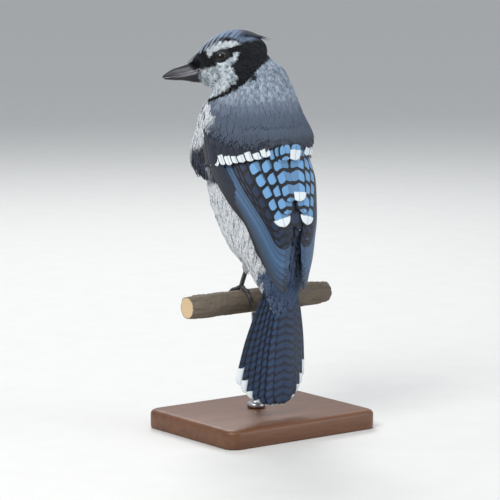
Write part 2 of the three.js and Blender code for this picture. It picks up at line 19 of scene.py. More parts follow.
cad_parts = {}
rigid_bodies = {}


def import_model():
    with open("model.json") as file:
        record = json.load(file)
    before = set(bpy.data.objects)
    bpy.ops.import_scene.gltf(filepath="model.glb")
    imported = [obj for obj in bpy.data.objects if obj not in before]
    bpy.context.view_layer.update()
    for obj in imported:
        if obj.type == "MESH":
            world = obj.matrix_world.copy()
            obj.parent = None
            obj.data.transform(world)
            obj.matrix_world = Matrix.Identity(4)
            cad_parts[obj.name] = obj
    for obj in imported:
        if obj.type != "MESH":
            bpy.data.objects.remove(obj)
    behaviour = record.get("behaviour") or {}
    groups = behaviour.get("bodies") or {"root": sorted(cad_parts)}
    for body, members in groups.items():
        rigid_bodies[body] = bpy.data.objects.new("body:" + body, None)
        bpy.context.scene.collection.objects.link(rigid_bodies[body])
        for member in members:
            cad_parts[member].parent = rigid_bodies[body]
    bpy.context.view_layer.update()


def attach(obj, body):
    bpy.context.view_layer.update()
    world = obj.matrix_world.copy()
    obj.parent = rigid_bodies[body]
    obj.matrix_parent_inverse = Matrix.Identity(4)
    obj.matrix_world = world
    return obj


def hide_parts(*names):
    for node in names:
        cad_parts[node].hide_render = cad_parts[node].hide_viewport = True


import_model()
MM = 0.001
DRAW = np.random.default_rng(11)

# %% [markdown]
# Smooth curves.
# A bird has no straight lines, so each outline is a handful of measured rows with a smooth curve
# through them. A spline could swing past a row and make a dent or a bulge. A monotone cubic keeps
# between its rows, so the few numbers stay true, and one function serves trunk, head, bill and wings
# alike.


# %% Curves through rows of sizes
def through(rows):
    table = np.array(rows, float)
    x, y = table[:, 0], table[:, 1:]
    span = np.diff(x)
    slope = np.diff(y, axis=0) / span[:, None]
    before, after = slope[:-1], slope[1:]
    same_way = before * after > 0
    tangent = np.zeros_like(y)
    tangent[1:-1] = np.where(same_way, 2 * before * after / np.where(same_way, before + after, 1), 0)

    def at(where):
        where = np.clip(np.asarray(where, float), x[0], x[-1])
        i = np.clip(np.searchsorted(x, where, side="right") - 1, 0, len(x) - 2)
        h = span[i][..., None]
        t = (where - x[i])[..., None] / h
        ends = (1 + 2 * t) * (1 - t) ** 2 * y[i] + t * t * (3 - 2 * t) * y[i + 1]
        return ends + h * (t * (1 - t) ** 2 * tangent[i] - t * t * (1 - t) * tangent[i + 1])

    return at


def mix(a, b, t):
    return a + (b - a) * t


def smooth(t):
    held = np.clip(t, 0, 1)
    return held * held * (3 - 2 * held)


def rise(value, start, span):
    """A soft step from 0 at the start to 1 a span above it."""
    return smooth((value - start) / span)


def fall(value, start, span):
    """A soft step from 0 at the start to 1 a span below it."""
    return smooth((start - value) / span)


def hill(value, top, width):
    return np.exp(-(((value - top) / width) ** 2))


def unit(vectors):
    return vectors / np.maximum(np.linalg.norm(vectors, axis=-1, keepdims=True), 1e-9)


def around(count):
    """Directions of so many places on a ring, in radians."""
    return 2 * math.pi * np.arange(count) / count


print("half way up a curve from 0 to 1 to 4", through([[0, 0], [1, 1], [2, 4]])([0.5, 1.5]).ravel())


# %% [markdown]
# The sizes.
# These rows say where the real bird's outline runs. They are the solid model's own rows, written again
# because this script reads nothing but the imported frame. The coat stands on a skin that lies a little
# inside them.

# %% Named sizes, in millimetres
BREAST_OVERHANG = 5.8
PERCH = {"radius": 7.5, "y": 6, "z": 81.5, "left": -54, "right": 56}
BASE = {"length": 116, "depth": 92, "corner": 8}
ROD_RADIUS = 3
BILL_GAP = 0.3
HEAD_AT = np.array([-10.6, 17.4, 235.0])
YAW = math.radians(53.13)
EYE = {"along": 6.4, "up": 0.6, "side": 11.1, "radius": 4.2}
FOOT_SPREAD = 12
SOLE, TARSUS_TOP, TARSUS_RISE, TARSUS_BACK = 91.3, 104, 29, 15
COAT_DEPTH = {"trunk": 1.2, "head": 0.9, "thigh": 0.7}
SIDES = (("left", -1), ("right", 1))

# height, the section's centre x and y, half width, reach forward and reach back
body_at = through([
    [71, -3.6, -23.4, 6, 3.2, 3.2], [84, -2, -22.5, 10.5, 7, 5.6], [96, -0.8, -20, 15, 14, 9],
    [108, 0, -15.5, 20, 25, 14.5], [120, 0, -10.2, 24.8, 32, 21], [133, 0, -5.7, 28, 36, 26],
    [146, 0, -1, 30, 37.5, 29], [157, 0, 2.5, 31.2, 37, 30.5], [166, 0, 6, 31.8, 37.5, 31.5],
    [174, 0, 8, 32.2, 38, 32], [187, 0, 8.3, 33, 37, 33], [197, 0, 9.5, 32.8, 34.4, 33],
    [203, 0, 10, 31, 31.4, 31.2], [210, 0.2, 9.6, 28, 27.6, 28.4], [219, -0.3, 9.6, 24.6, 23.6, 25.2],
    [228, -1.4, 10.4, 20.8, 19.4, 21.6], [237, -4, 12, 14.5, 14, 15],
])
# distance along the head, crown, throat and half width
head_at = through([
    [-22, 4, -6, 3], [-20.5, 8.2, -10, 8], [-17, 12.4, -14, 12.3], [-11, 15.6, -17, 15.2],
    [-4, 16.8, -19, 16.2], [3, 16, -20, 15.7], [10, 13.2, -20, 13.9], [16, 8.8, -18.6, 11.4],
    [21, 4.2, -17, 8.4], [25, -0.4, -16, 5.6],
])
# distance along the head, half width, culmen, line of the mouth and lower edge
bill_at = through([
    [19.5, 5, -1.6, -8.1, -16], [24, 4.7, -2.6, -9.2, -15.8], [28, 4.1, -4.2, -10.3, -15],
    [32, 3.4, -5.6, -11.2, -14.6], [36, 2.5, -7, -11.9, -14.5], [40, 1.5, -9.2, -12.6, -14.2],
    [42.8, 0.7, -11.3, -13, -13.9], [43.8, 0.3, -12.5, -13.1, -13.5],
])
# the bed that the folded wings lie on: height, centre y, half width and depth towards the back
wing_bed_at = through([
    [86, -13, 15, 20.5], [98, -12, 19, 20.5], [110, -11, 23.5, 21.5], [122, -8.5, 26.4, 24],
    [133, -5.7, 28.7, 26.8], [146, -1, 30.7, 29.8], [157, 2.5, 31.9, 31.2], [174, 8, 32.8, 32.6],
    [187, 8.3, 33.6, 33.6], [200, 9.7, 32.6, 33],
])
# the folded wing's lower edge: height, and how far round it is from the middle of the back
wing_edge_at = through([
    [91, 10], [112, 22], [128, 29], [143, 34], [157, 43], [169, 52], [180, 56], [195, 56],
])

ALONG = np.array([-math.sin(YAW), math.cos(YAW), 0])
ASIDE = np.array([math.cos(YAW), math.sin(YAW), 0])
UP = np.array([0, 0, 1.0])


def head_point(along, side, up):
    along, side, up = (np.asarray(v, float)[..., None] for v in (along, side, up))
    return HEAD_AT + along * ALONG + side * ASIDE + up * UP


def in_head(points):
    away = points - HEAD_AT
    return away @ ALONG, away @ ASIDE, away[..., 2]


def wing_top_at(z):
    """How far round the wing's lower edge is, in degrees from the middle of the back."""
    return np.degrees(2 * wing_edge_at(z)[..., 0] / wing_bed_at(z)[..., 1:].sum(-1))


COLLAR_POINT = head_point(16.5, 0, -23)
COLLAR = unit(np.cross(head_point(-23.5, 0, 1.5) - COLLAR_POINT, ASIDE))
COLLAR = COLLAR * np.sign(COLLAR[2])
COLLAR_SAG = {"from": -18, "over": 9, "depth": 3.4, "least": 0.4}


def over_collar(points):
    """How far a place is above the necklace, which hangs lower than its plane at throat and cheeks."""
    along = (points - HEAD_AT) @ ALONG
    hang = np.clip((along - COLLAR_SAG["from"]) / COLLAR_SAG["over"], 0, 1)
    sag = COLLAR_SAG["depth"] * hang * hang * (3 - 2 * hang)
    return (points - COLLAR_POINT) @ COLLAR + COLLAR_SAG["least"] + sag


print("head at", HEAD_AT, "collar faces", COLLAR.round(2))

# %% [markdown]
# Camera, floor and light.
# The photograph looks at the bird's back from its left rear, almost level, in soft daylight. A long
# lens from 1.6 m gives the same flat view. Large soft lights and a pale world keep shadows gentle, and
# a pale floor shows the stand.

# %% Camera, in metres
VIEW_TURN, VIEW_TILT = math.radians(36.87), math.radians(8)
VIEW_DISTANCE, VIEW_HEIGHT, VIEW_SHIFT = 1.6, 0.114, 0.00756
LENS_ANGLE = math.radians(11.25)
flat_look = math.cos(VIEW_TILT)
LOOK = Vector((math.sin(VIEW_TURN) * flat_look, math.cos(VIEW_TURN) * flat_look, -math.sin(VIEW_TILT)))
TARGET = Vector((0, 0, VIEW_HEIGHT)) - VIEW_SHIFT * Vector((math.cos(VIEW_TURN), -math.sin(VIEW_TURN), 0))
camera_data = bpy.data.cameras.new("camera")
camera_data.angle = LENS_ANGLE
camera_data.clip_start = 0.05
camera = bpy.data.objects.new("camera", camera_data)
camera.location = TARGET - LOOK * VIEW_DISTANCE
camera.rotation_euler = LOOK.to_track_quat("-Z", "Y").to_euler()
bpy.context.collection.objects.link(camera)
bpy.context.scene.camera = camera
print("camera at", [round(v, 3) for v in camera.location])

# %% Lights and floor, in metres and watts
LIT_PLACE = Vector((0, 0, 0.15))
FLOOR_HALF = 6
WORLD_COLOR, WORLD_STRENGTH = (0.86, 0.9, 0.95, 1), 0.58


def link_object(name, made_of):
    made = bpy.data.objects.new(name, made_of)
    bpy.context.collection.objects.link(made)
    return made


def area_light(name, place, size, watts, color):
    data = bpy.data.lights.new(name, "AREA")
    data.shape = "DISK"
    data.size = size
    data.energy = watts
    data.color = color
    light = link_object(name, data)
    light.location = place
    light.rotation_euler = (LIT_PLACE - Vector(place)).to_track_quat("-Z", "Y").to_euler()


area_light("key_light", (-1.1, -0.4, 1.3), 0.9, 19, (1, 0.98, 0.95))
area_light("fill_light", (0.9, -1.2, 0.6), 1.2, 8, (0.93, 0.96, 1))
area_light("rim_light", (0.5, 1.0, 1.2), 0.7, 12, (1, 1, 1))
world = bpy.data.worlds.new("studio")
bpy.context.scene.world = world
world.use_nodes = True
world.node_tree.nodes["Background"].inputs["Color"].default_value = WORLD_COLOR
world.node_tree.nodes["Background"].inputs["Strength"].default_value = WORLD_STRENGTH
bpy.context.scene.view_settings.view_transform = "Standard"

floor_mesh = bpy.data.meshes.new("floor")
floor_corners = [(x * FLOOR_HALF, y * FLOOR_HALF, 0) for x, y in ((-1, -1), (1, -1), (1, 1), (-1, 1))]
floor_mesh.from_pydata(floor_corners, [], [(0, 1, 2, 3)])
floor = link_object("floor", floor_mesh)
print("lights", 3, "floor", 2 * FLOOR_HALF, "m wide")

# %% [markdown]
# Helpers for materials.
# A node tree is easier to read when each node is one short call, so one small function adds a node,
# sets its fields and links its inputs. Colours are written as the sRGB numbers that a paint swatch
# would have.


# %% Node helpers
def paint(*swatch):
    share = np.array(swatch, float) / 255
    return np.where(share <= 0.04045, share / 12.92, ((share + 0.055) / 1.055) ** 2.4)


def rgba(*swatch):
    return (*paint(*swatch), 1)


def add(tree, kind, inputs=None, **fields):
    node = tree.nodes.new(kind)
    for key, value in fields.items():
        setattr(node, key, value)
    for key, value in (inputs or {}).items():
        if isinstance(value, bpy.types.NodeSocket):
            tree.links.new(value, node.inputs[key])
        else:
            node.inputs[key].default_value = value
    return node


def math_node(tree, operation, a, b=0.0, c=0.0, clamp=False):
    return add(tree, "ShaderNodeMath", {0: a, 1: b, 2: c}, operation=operation, use_clamp=clamp).outputs[0]


def blend_colors(tree, share, a, b, how="MIX"):
    return add(tree, "ShaderNodeMix", {0: share, 6: a, 7: b}, data_type="RGBA", blend_type=how).outputs[2]


def attribute(tree, name, output="Fac"):
    return add(tree, "ShaderNodeAttribute", attribute_name=name).outputs[output]


def placed(tree, **mapping):
    """The place on the object, moved or stretched by a Mapping node."""
    place = add(tree, "ShaderNodeTexCoord").outputs["Object"]
    return add(tree, "ShaderNodeMapping", {"Vector": place, **mapping}).outputs[0]


def noise(tree, scale, detail=3.0, stretch=(1, 1, 1), distortion=0.0):
    place = placed(tree, Scale=stretch)
    inputs = {"Vector": place, "Scale": scale, "Detail": detail, "Distortion": distortion}
    return add(tree, "ShaderNodeTexNoise", inputs).outputs["Fac"]


def new_material(name, **sockets):
    material = bpy.data.materials.new(name)
    material.use_nodes = True
    shader = material.node_tree.nodes["Principled BSDF"]
    for socket, value in sockets.items():
        shader.inputs[socket.replace("_", " ")].default_value = value
    return material, material.node_tree


def cover(tree, color, height=None, relief=0.0, strength=1.0):
    """Gives the surface its colour and, where there is a height, its fine relief in metres."""
    shader = tree.nodes["Principled BSDF"]
    tree.links.new(color, shader.inputs["Base Color"])
    if height is not None:
        inputs = {"Height": height, "Distance": relief, "Strength": strength}
        tree.links.new(add(tree, "ShaderNodeBump", inputs).outputs[0], shader.inputs["Normal"])


def grained_tint(tree, share, grain):
    """The piece's own tint with a share of grain in it."""
    return blend_colors(tree, share, attribute(tree, "tint", "Color"), grain, "SOFT_LIGHT")


floor_material, floor_tree = new_material("pale_floor", Roughness=0.7)
cover(floor_tree, blend_colors(floor_tree, noise(floor_tree, 40), rgba(212, 212, 210), rgba(219, 219, 217)))
floor.data.materials.append(floor_material)
print("floor finish with", len(floor_tree.nodes), "nodes")

# %% [markdown]
# The feather finish.
# A real feather is a row of fine barbs on each side of a shaft, so its surface glints in slanting
# lines. Modelling every barb would take millions of faces. Each small feather is a thin solid blade,
# and this node group draws the barbs on it as slanting ridges from the blade's own two numbers: how far
# along it a point is, and how far across.

# %% The barbs node group
BARB_SLANT = 0.8


def barbs_group():
    group = bpy.data.node_groups.new("feather_barbs", "ShaderNodeTree")
    for name in ("Along", "Across", "Count"):
        group.interface.new_socket(name, in_out="INPUT", socket_type="NodeSocketFloat")
    group.interface.new_socket("Ridges", in_out="OUTPUT", socket_type="NodeSocketFloat")
    given = group.nodes.new("NodeGroupInput").outputs
    end = group.nodes.new("NodeGroupOutput")
    calc = partial(math_node, group)
    out_from_shaft = calc("ABSOLUTE", given["Across"])
    slant = calc("SUBTRACT", given["Along"], calc("MULTIPLY", out_from_shaft, BARB_SLANT))
    turns = calc("MULTIPLY", slant, given["Count"])
    wave = calc("SINE", calc("MULTIPLY", turns, 2 * math.pi))
    group.links.new(calc("MULTIPLY_ADD", wave, 0.5, 0.5), end.inputs[0])
    return group


BARBS = barbs_group()


def barbs(tree, along, across, count):
    inputs = {"Along": along, "Across": across, "Count": count}
    return add(tree, "ShaderNodeGroup", inputs, node_tree=BARBS).outputs["Ridges"]


print("barbs group with", len(BARBS.nodes), "nodes")


# %% The finish of the small feathers
BARB_COUNT = 7
coat_finish, coat_nodes = new_material(
    "soft_feathers", Roughness=0.8, Sheen_Weight=0.08, Sheen_Roughness=0.5, Specular_IOR_Level=0.12
)
calc = partial(math_node, coat_nodes)
ridges = barbs(coat_nodes, attribute(coat_nodes, "along"), attribute(coat_nodes, "across"), BARB_COUNT)
ridge_shade = calc("MULTIPLY_ADD", ridges, 0.16, 0.9)
soft_shade = calc("MULTIPLY", calc("SUBTRACT", noise(coat_nodes, 900, 2), 0.5), 0.3)
shaded = {0: attribute(coat_nodes, "tint", "Color"), 1: calc("ADD", ridge_shade, soft_shade)}
shaded = add(coat_nodes, "ShaderNodeVectorMath", shaded, operation="MULTIPLY").outputs[0]
cover(coat_nodes, shaded, ridges, 0.0001, 0.5)
print("feather finish with", BARB_COUNT, "ridges a feather")

# %% [markdown]
# The bird's markings.
# A blue jay's head is black and white under a blue-grey crown, with a black necklace; its back is grey-
# blue and its belly white. An image could carry this, but the skin and each feather ask for a colour at
# a place, so the markings are one function of a place on the bird. Outlines on the head are a few
# points each, as seen from the side.

# %% The plumage's colours and outlines
SWATCHES = {
    "black": (15, 17, 22), "black_sheen": (44, 50, 60), "white": (226, 236, 242),
    "soft_white": (168, 180, 190), "forehead": (132, 153, 187), "crown": (116, 132, 157),
    "crown_patch": (84, 100, 132), "brow_edge": (140, 152, 168), "crest_dark": (46, 52, 66),
    "throat_speck": (84, 96, 108), "hem": (72, 80, 93), "mantle": (90, 102, 120),
    "shoulders": (138, 153, 174), "mantle_blue": (88, 100, 128), "mantle_brown": (80, 78, 82),
    "neck_pale": (204, 216, 228), "neck_fleck": (92, 106, 128), "rump": (86, 104, 134),
    "rump_dark": (62, 80, 110), "belly": (242, 246, 250), "belly_grey": (214, 222, 231),
    "belly_streak": (160, 170, 184), "breast": (176, 184, 194), "slate": (50, 55, 68),
    "slate_pale": (82, 90, 108), "light_line": (196, 202, 210),
}
HUE = SimpleNamespace(**{name: paint(*swatch) for name, swatch in SWATCHES.items()})
BROW = [(16.6, 4.6), (14, 6), (9.9, 8.3), (4.7, 9), (-0.6, 8.5), (-3.7, 6.8), (1.5, 4.6), (4.7, 4.9),
        (8.8, 3.6), (12, 2), (14.6, -0.9), (16.1, -0.1)]
BEHIND_EYE = [(10.4, -4.3), (4.7, -3.7), (1.5, -2.1), (-0.1, 0.8), (-3.2, 1.8), (-2, -1.1), (0.5, -4.8),
              (4.7, -7.4), (8.3, -7.6), (10.4, -6.4)]
CHEEK = [(30, -7.5), (18.2, -8.2), (10.9, -6.5), (1.5, -6.4), (-0.6, -12.1), (-2.1, -14.2), (1.5, -18.9),
         (13, -25.6), (26, -28), (30, -16.8)]
crown_line = through([[-30, 12], [-17, 10.5], [-4, 7.8], [2, 10.2], [9, 9.8], [15, 7], [22, 1], [30, -6]])
EYE_MASK = (5.1, 3.4)
NECKLACE = (-0.8, 0.7)
NECKLACE_BACK = -14
WAVES, WAVES_REACH = 7, 3.2
# the photograph looks down on the head's sides, so a place out there seems to lie this much lower
SIDE_DROP = 0.139


def inside(outline, x, y):
    """Which places an outline holds, by how often a line from each crosses it."""
    within = np.zeros(x.shape, bool)
    for (x0, y0), (x1, y1) in zip(outline, outline[1:] + outline[:1]):
        if y0 != y1:
            within ^= ((y0 > y) != (y1 > y)) & (x < (x1 - x0) * (y - y0) / (y1 - y0) + x0)
    return within


def cloud(points, size, seed):
    """Smooth random numbers over space, about -1 to 1, from a few sine waves in drawn directions."""
    draw = np.random.default_rng(seed)
    total = np.zeros(points.shape[:-1])
    for _ in range(WAVES):
        direction = unit(draw.normal(size=3)) * draw.uniform(0.6, 1.5) * 2 * math.pi / size
        total += np.sin(points @ direction + draw.uniform(0, 2 * math.pi))
    return total / WAVES_REACH


def layer(color, mask, over):
    share = np.clip(np.asarray(mask, float), 0, 1)[..., None]
    return color * (1 - share) + over * share


def between(a, b, share):
    return mix(a, b, share[..., None])


print("crown", HUE.crown.round(3), "outlines of", len(BROW), len(BEHIND_EYE), len(CHEEK), "points")


# %% Markings of the head
def head_markings(points):
    along, side, up = in_head(points)
    seen_up = up - SIDE_DROP * np.abs(side)
    ragged = 0.45 * cloud(points, 3.5, 5)
    color = np.broadcast_to(HUE.black, points.shape).copy()
    color = layer(color, cloud(points, 5, 8) * 0.2 + 0.08, HUE.black_sheen)
    over_line = seen_up - crown_line(along)[..., 0]
    crown = between(HUE.forehead, HUE.crown, fall(along, 14, 16))
    crown = layer(crown, 0.4 * smooth(cloud(points, 6, 3) * 0.8), HUE.crown_patch)
    crown = layer(crown, fall(along, -9, 9), HUE.crest_dark)
    color = layer(color, smooth(over_line / 0.8 + 0.2), crown)
    color = layer(color, 0.8 * rise(along, 13, 7) * smooth(over_line / 1.5), HUE.brow_edge)
    color = layer(color, inside(BROW, along + ragged, seen_up), HUE.white * 0.92)
    pale = between(HUE.white, HUE.soft_white, smooth(cloud(points, 7, 4)))
    color = layer(color, inside(BEHIND_EYE, along + ragged, seen_up), pale)
    specks = smooth(1.8 * cloud(points, 2.4, 6) - 0.25) * smooth((9 + seen_up) / -6 + 1.2)
    throat = layer(pale, 0.75 * specks, HUE.throat_speck)
    color = layer(color, inside(CHEEK, along + ragged, seen_up + 0.5 * ragged), throat)
    around_eye = np.hypot((along - EYE["along"]) / EYE_MASK[0], (seen_up + EYE["up"]) / EYE_MASK[1])
    return layer(color, around_eye < 1, HUE.black)


print("brow", head_markings(head_point([9], -12, 8))[0].round(3))


# %% Markings of the body
def body_turn(points):
    """The direction from the trunk's middle in degrees: 90 is the breast, 180 the left and 270 the back."""
    middle = body_at(points[..., 2])
    return np.degrees(np.arctan2(points[..., 1] - middle[..., 1], points[..., 0] - middle[..., 0])) % 360


def back_markings(points, z, patch, fine):
    """Slate at the mantle's hem, paler and flecked up the neck, and blue over the rump."""
    mantle = between(HUE.hem, HUE.mantle, rise(z, 184, 12))
    mantle = between(mantle, HUE.shoulders, rise(z, 199, 20))
    mantle = layer(mantle, 0.25 * smooth(patch), HUE.mantle_blue)
    mantle = layer(mantle, 0.5 * smooth(0.3 - patch) * fall(z, 194, 9), HUE.mantle_brown)
    pale_neck = rise(z, 205, 12) * smooth(fine * 1.1 + 0.52)
    mantle = layer(mantle, 0.7 * pale_neck, HUE.neck_pale)
    dark_flecks = smooth(cloud(points, 2.2, 17) * 1.3 - 0.5) * rise(z, 200, 8)
    mantle = layer(mantle, 0.5 * dark_flecks, HUE.neck_fleck)
    return layer(mantle, fall(z, 150, 20), between(HUE.rump, HUE.rump_dark, smooth(patch)))


def front_markings(points, z, side_turn, patch, fine):
    """White with soft streaks below, and a dark lobe on each side of the breast under the wing's bend: the
    grey breast darkened with painted shade.
    """
    belly = between(HUE.belly, HUE.belly_grey, smooth(fine + patch * 0.6))
    streaks = smooth(2 * cloud(points * np.array([1, 1, 0.28]), 5, 14) - 0.7)
    belly = layer(belly, 0.16 * streaks, HUE.belly_streak)
    breast = layer(belly, 0.45 * rise(z, 172, 14) * fall(side_turn, 140, 30), HUE.breast)
    front_edge = 141 + 0.8 * (z - 180) + 3.5 * patch + 2 * fine
    low_edge = 161 + 2.5 * patch + 0.14 * (160 - side_turn)
    high_edge = 182 + 0.22 * (side_turn - 143) + 1.5 * patch
    # the lobe is the grey breast with painted shade under the wing's bend
    lobe = smooth((side_turn - front_edge) / 12 + 0.4) * rise(z, low_edge, 5)
    lobe = lobe * smooth((high_edge - z) / 6 + 0.3)
    color = layer(breast, lobe, between(HUE.slate, HUE.slate_pale, smooth(fine * 0.8)))
    light_line = hill(side_turn, 170, 2) * rise(z, 160, 6) * fall(z, 189, 6)
    return layer(color, light_line * smooth(1.5 * fine + 0.9), HUE.light_line)


def body_markings(points):
    z = points[..., 2]
    turn = body_turn(points)
    side_turn = np.where((turn > 90) & (turn < 270), turn, (540 - turn) % 360)
    patch, fine = cloud(points, 9, 12), cloud(points, 3, 13)
    front = front_markings(points, z, side_turn, patch, fine)
    from_back = 270 - side_turn
    back_edge = mix(89, wing_top_at(z) - 8, rise(z, 102, 14))
    back_edge = mix(back_edge, 88, rise(z, 180, 10))
    back_edge = mix(back_edge, 132, rise(z, 203, 9))
    back_share = smooth((back_edge - from_back + 2 * fine) / 6)
    return layer(front, back_share, back_markings(points, z, patch, fine))


print("belly", body_markings(np.array([[0, 35.0, 140]]))[0].round(3))


# %% The colour at any place
def plumage(points):
    """The colour of the plumage at places on the bird, given in millimetres."""
    height = over_collar(points) + 0.1 * cloud(points, 4, 21)
    along = in_head(points)[0]
    band = mix(0.9, 2.4, fall(along, 2, 14))
    color = layer(body_markings(points), height > 0, head_markings(points))
    return layer(color, (height > NECKLACE[0] - 0.2) & (height < band) & (along > NECKLACE_BACK), HUE.black)


print("crown's top", plumage(head_point([-4], 0, 16.8))[0].round(3))

# %% [markdown]
# The skin.
# Under the feathers trunk, neck, head and thighs are one body with no seam, so one skin stands for all
# of them. Separate lofts make the main forms, and a voxel remesh melts them into one closed surface, as
# clay would join. Its colour is the same markings as the coat, so no bare spot shows between feathers.


# %% Lofts
def ring_faces(rows, sides):
    ring, place = np.arange(rows - 1)[:, None] * sides, np.arange(sides)
    a, b = ring + place, ring + (place + 1) % sides
    return np.stack([a, b, b + sides, a + sides], -1).reshape(-1, 4).tolist()


def loft(rings):
    """Points and faces of a closed form through rings of as many points each."""
    rings = np.asarray(rings, float)
    rows, sides, _ = rings.shape
    faces = ring_faces(rows, sides)
    faces.append(list(range(sides))[::-1])
    faces.append([(rows - 1) * sides + k for k in range(sides)])
    return rings.reshape(-1, 3), faces


def tube(path, radii, sides):
    """Rings of a round rod along a path that doesn't run along X."""
    path = np.asarray(path, float)
    heading = unit(np.gradient(path, axis=0))
    across = unit(np.array([1.0, 0, 0]) - heading * heading[:, :1])[:, None]
    over = np.cross(heading, across[:, 0])[:, None]
    turn = around(sides)[:, None]
    radii = np.asarray(radii, float)[:, None, None]
    return path[:, None] + radii * (across * np.cos(turn) + over * np.sin(turn))


print("a loft of 3 rings of 4 has", len(loft(np.zeros((3, 4, 3)))[1]), "faces")


# %% Meshes, their numbers and pieces
def new_mesh(name, parts):
    """One mesh from parts of (points, faces), the points in millimetres and the faces turned outwards."""
    points, faces, start = [], [], 0
    for part_points, part_faces in parts:
        points.append(part_points)
        faces.extend([[i + start for i in face] for face in part_faces])
        start += len(part_points)
    mesh = bpy.data.meshes.new(name)
    mesh.from_pydata((np.concatenate(points) * MM).tolist(), [], faces)
    work = bmesh.new()
    work.from_mesh(mesh)
    bmesh.ops.recalc_face_normals(work, faces=work.faces)
    work.to_mesh(mesh)
    work.free()
    mesh.shade_smooth()
    return mesh


KINDS = {"FLOAT": "value", "FLOAT_VECTOR": "vector", "FLOAT_COLOR": "color"}


def store(mesh, name, values, kind="FLOAT"):
    made = mesh.attributes.new(name, kind, "POINT")
    made.data.foreach_set(KINDS[kind], np.ascontiguousarray(values, np.float32).ravel())


def store_tint(mesh, colors):
    store(mesh, "tint", np.concatenate([colors, np.ones((len(colors), 1))], 1), "FLOAT_COLOR")


def numbers_of(rows, key, width=1, kind=np.float32):
    flat = np.empty(len(rows) * width, kind)
    rows.foreach_get(key, flat)
    return flat.reshape(-1, width)


def points_of(mesh):
    """A mesh's points in millimetres."""
    return numbers_of(mesh.vertices, "co", 3).astype(float) / MM


def triangles_of(mesh):
    return sum(len(polygon.vertices) - 2 for polygon in mesh.polygons)


def evaluated(made):
    """A plain mesh of the object with its modifiers done, and the modifiers gone."""
    graph = bpy.context.evaluated_depsgraph_get()
    solved = made.evaluated_get(graph)
    mesh = bpy.data.meshes.new_from_object(solved, preserve_all_data_layers=True, depsgraph=graph)
    made.modifiers.clear()
    made.data = mesh
    return mesh


def dress(piece, slot, *nodes):
    """Fixes a piece to the model and hides the nodes of the solid model that it stands for. The slot is not
    used.
    """
    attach(piece, "root")
    if nodes:
        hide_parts(*nodes)


def solid_piece(name, parts, material, slot, *nodes):
    piece = link_object(name, new_mesh(name, parts))
    piece.data.materials.append(material)
    dress(piece, slot, *nodes)
    return piece


print("numbers of a mesh are stored for", len(KINDS), "kinds")

# %% The forms under the skin
TRUNK = {"from": 71, "to": 237, "rings": 110, "sides": 72}
HEAD = {"from": -22, "to": 25, "rings": 40, "sides": 48}
BREAST_LOBES = {"at": (37, 143), "width": 0.42}
HEM = 183
CAPE = {"top": 201, "out": 4.1, "lip": 1.6, "round": 97}
THIGH_LENGTH = 0.75
VOXEL = 1.1
EYE_DISH = {"side": 21.4, "radius": 8}


def hem_at(from_back):
    return HEM + 4.5 * rise(from_back, 24, 50) + 6 * rise(from_back, 62, 26)


def cape_out(z, turn):
    """How far the shoulder feathers stand out over the tops of the wings."""
    from_back = np.abs((turn - 270 + 180) % 360 - 180)
    hem, lip = hem_at(from_back), CAPE["lip"]
    above = smooth((CAPE["top"] - z) / (CAPE["top"] - hem)) * smooth((z - hem + lip) / lip)
    return CAPE["out"] * above * fall(from_back, CAPE["round"], 12)


def trunk_rings(grow):
    turn = around(TRUNK["sides"])
    lobe = sum(hill(turn, math.radians(at), BREAST_LOBES["width"]) for at in BREAST_LOBES["at"])
    rings = []
    for z in np.linspace(TRUNK["from"] - grow, TRUNK["to"] + grow, TRUNK["rings"]):
        x, y, half, front, back = body_at(z)
        overhang = BREAST_OVERHANG * rise(z, 160, 7) * fall(z, 199, 26)
        more = grow + overhang * lobe + cape_out(z, np.degrees(turn))
        reach = np.where(np.sin(turn) > 0, front, back) + more
        ring = [x + (half + more) * np.cos(turn), y + reach * np.sin(turn), 0 * turn + z]
        rings.append(np.stack(ring, -1))
    return rings


def head_rings(grow):
    turn = around(HEAD["sides"])
    rings = []
    for along in np.linspace(HEAD["from"] - grow, HEAD["to"] + grow * 0.5, HEAD["rings"]):
        crown, throat, half = head_at(along)
        drawn_in = rise(along, 17.5, 3.5)
        half = mix(half, 4.2, drawn_in) + grow
        throat = mix(throat, -13.5, drawn_in)
        middle, tall = (crown + throat) / 2, (crown - throat) / 2 + grow
        rings.append(head_point(along, half * np.cos(turn), middle + tall * np.sin(turn)))
    return rings


def tarsus_point(side, t):
    back = PERCH["y"] - TARSUS_BACK * t
    return np.array([side * (FOOT_SPREAD + 0.9 * t), back, SOLE + TARSUS_RISE * t])


def thigh_rings(side, grow):
    low = (TARSUS_TOP - SOLE) / TARSUS_RISE
    shares = np.linspace(low, low + THIGH_LENGTH, 12)
    radius_at = through([[low, 2.9], [low + 0.2, 4.6], [low + 0.45, 6.6], [low + THIGH_LENGTH, 8.5]])
    return tube([tarsus_point(side, t) for t in shares], radius_at(shares)[:, 0] + grow, 24)


clay = [loft(trunk_rings(-COAT_DEPTH["trunk"])), loft(head_rings(-COAT_DEPTH["head"]))]
clay += [loft(thigh_rings(side, -COAT_DEPTH["thigh"])) for side in (-1, 1)]
print("forms", len(clay), "of", [len(points) for points, _ in clay], "points")

# %% The forms melted into one skin
skin = link_object("skin", new_mesh("skin", clay))
remesh = skin.modifiers.new("melt", "REMESH")
remesh.mode = "VOXEL"
remesh.voxel_size = VOXEL * MM
soften = skin.modifiers.new("soften", "SMOOTH")
soften.factor = 0.5
soften.iterations = 6
evaluated(skin)

skin_points = points_of(skin.data)
for side in (-1, 1):
    dish = head_point(EYE["along"], side * EYE_DISH["side"], EYE["up"])
    away = skin_points - dish
    far = np.linalg.norm(away, axis=1)
    pushed = far < EYE_DISH["radius"]
    skin_points[pushed] = dish + away[pushed] / far[pushed, None] * EYE_DISH["radius"]
skin.data.vertices.foreach_set("co", (skin_points * MM).ravel())
skin.data.update()
skin.data.shade_smooth()
print("skin faces", len(skin.data.polygons))

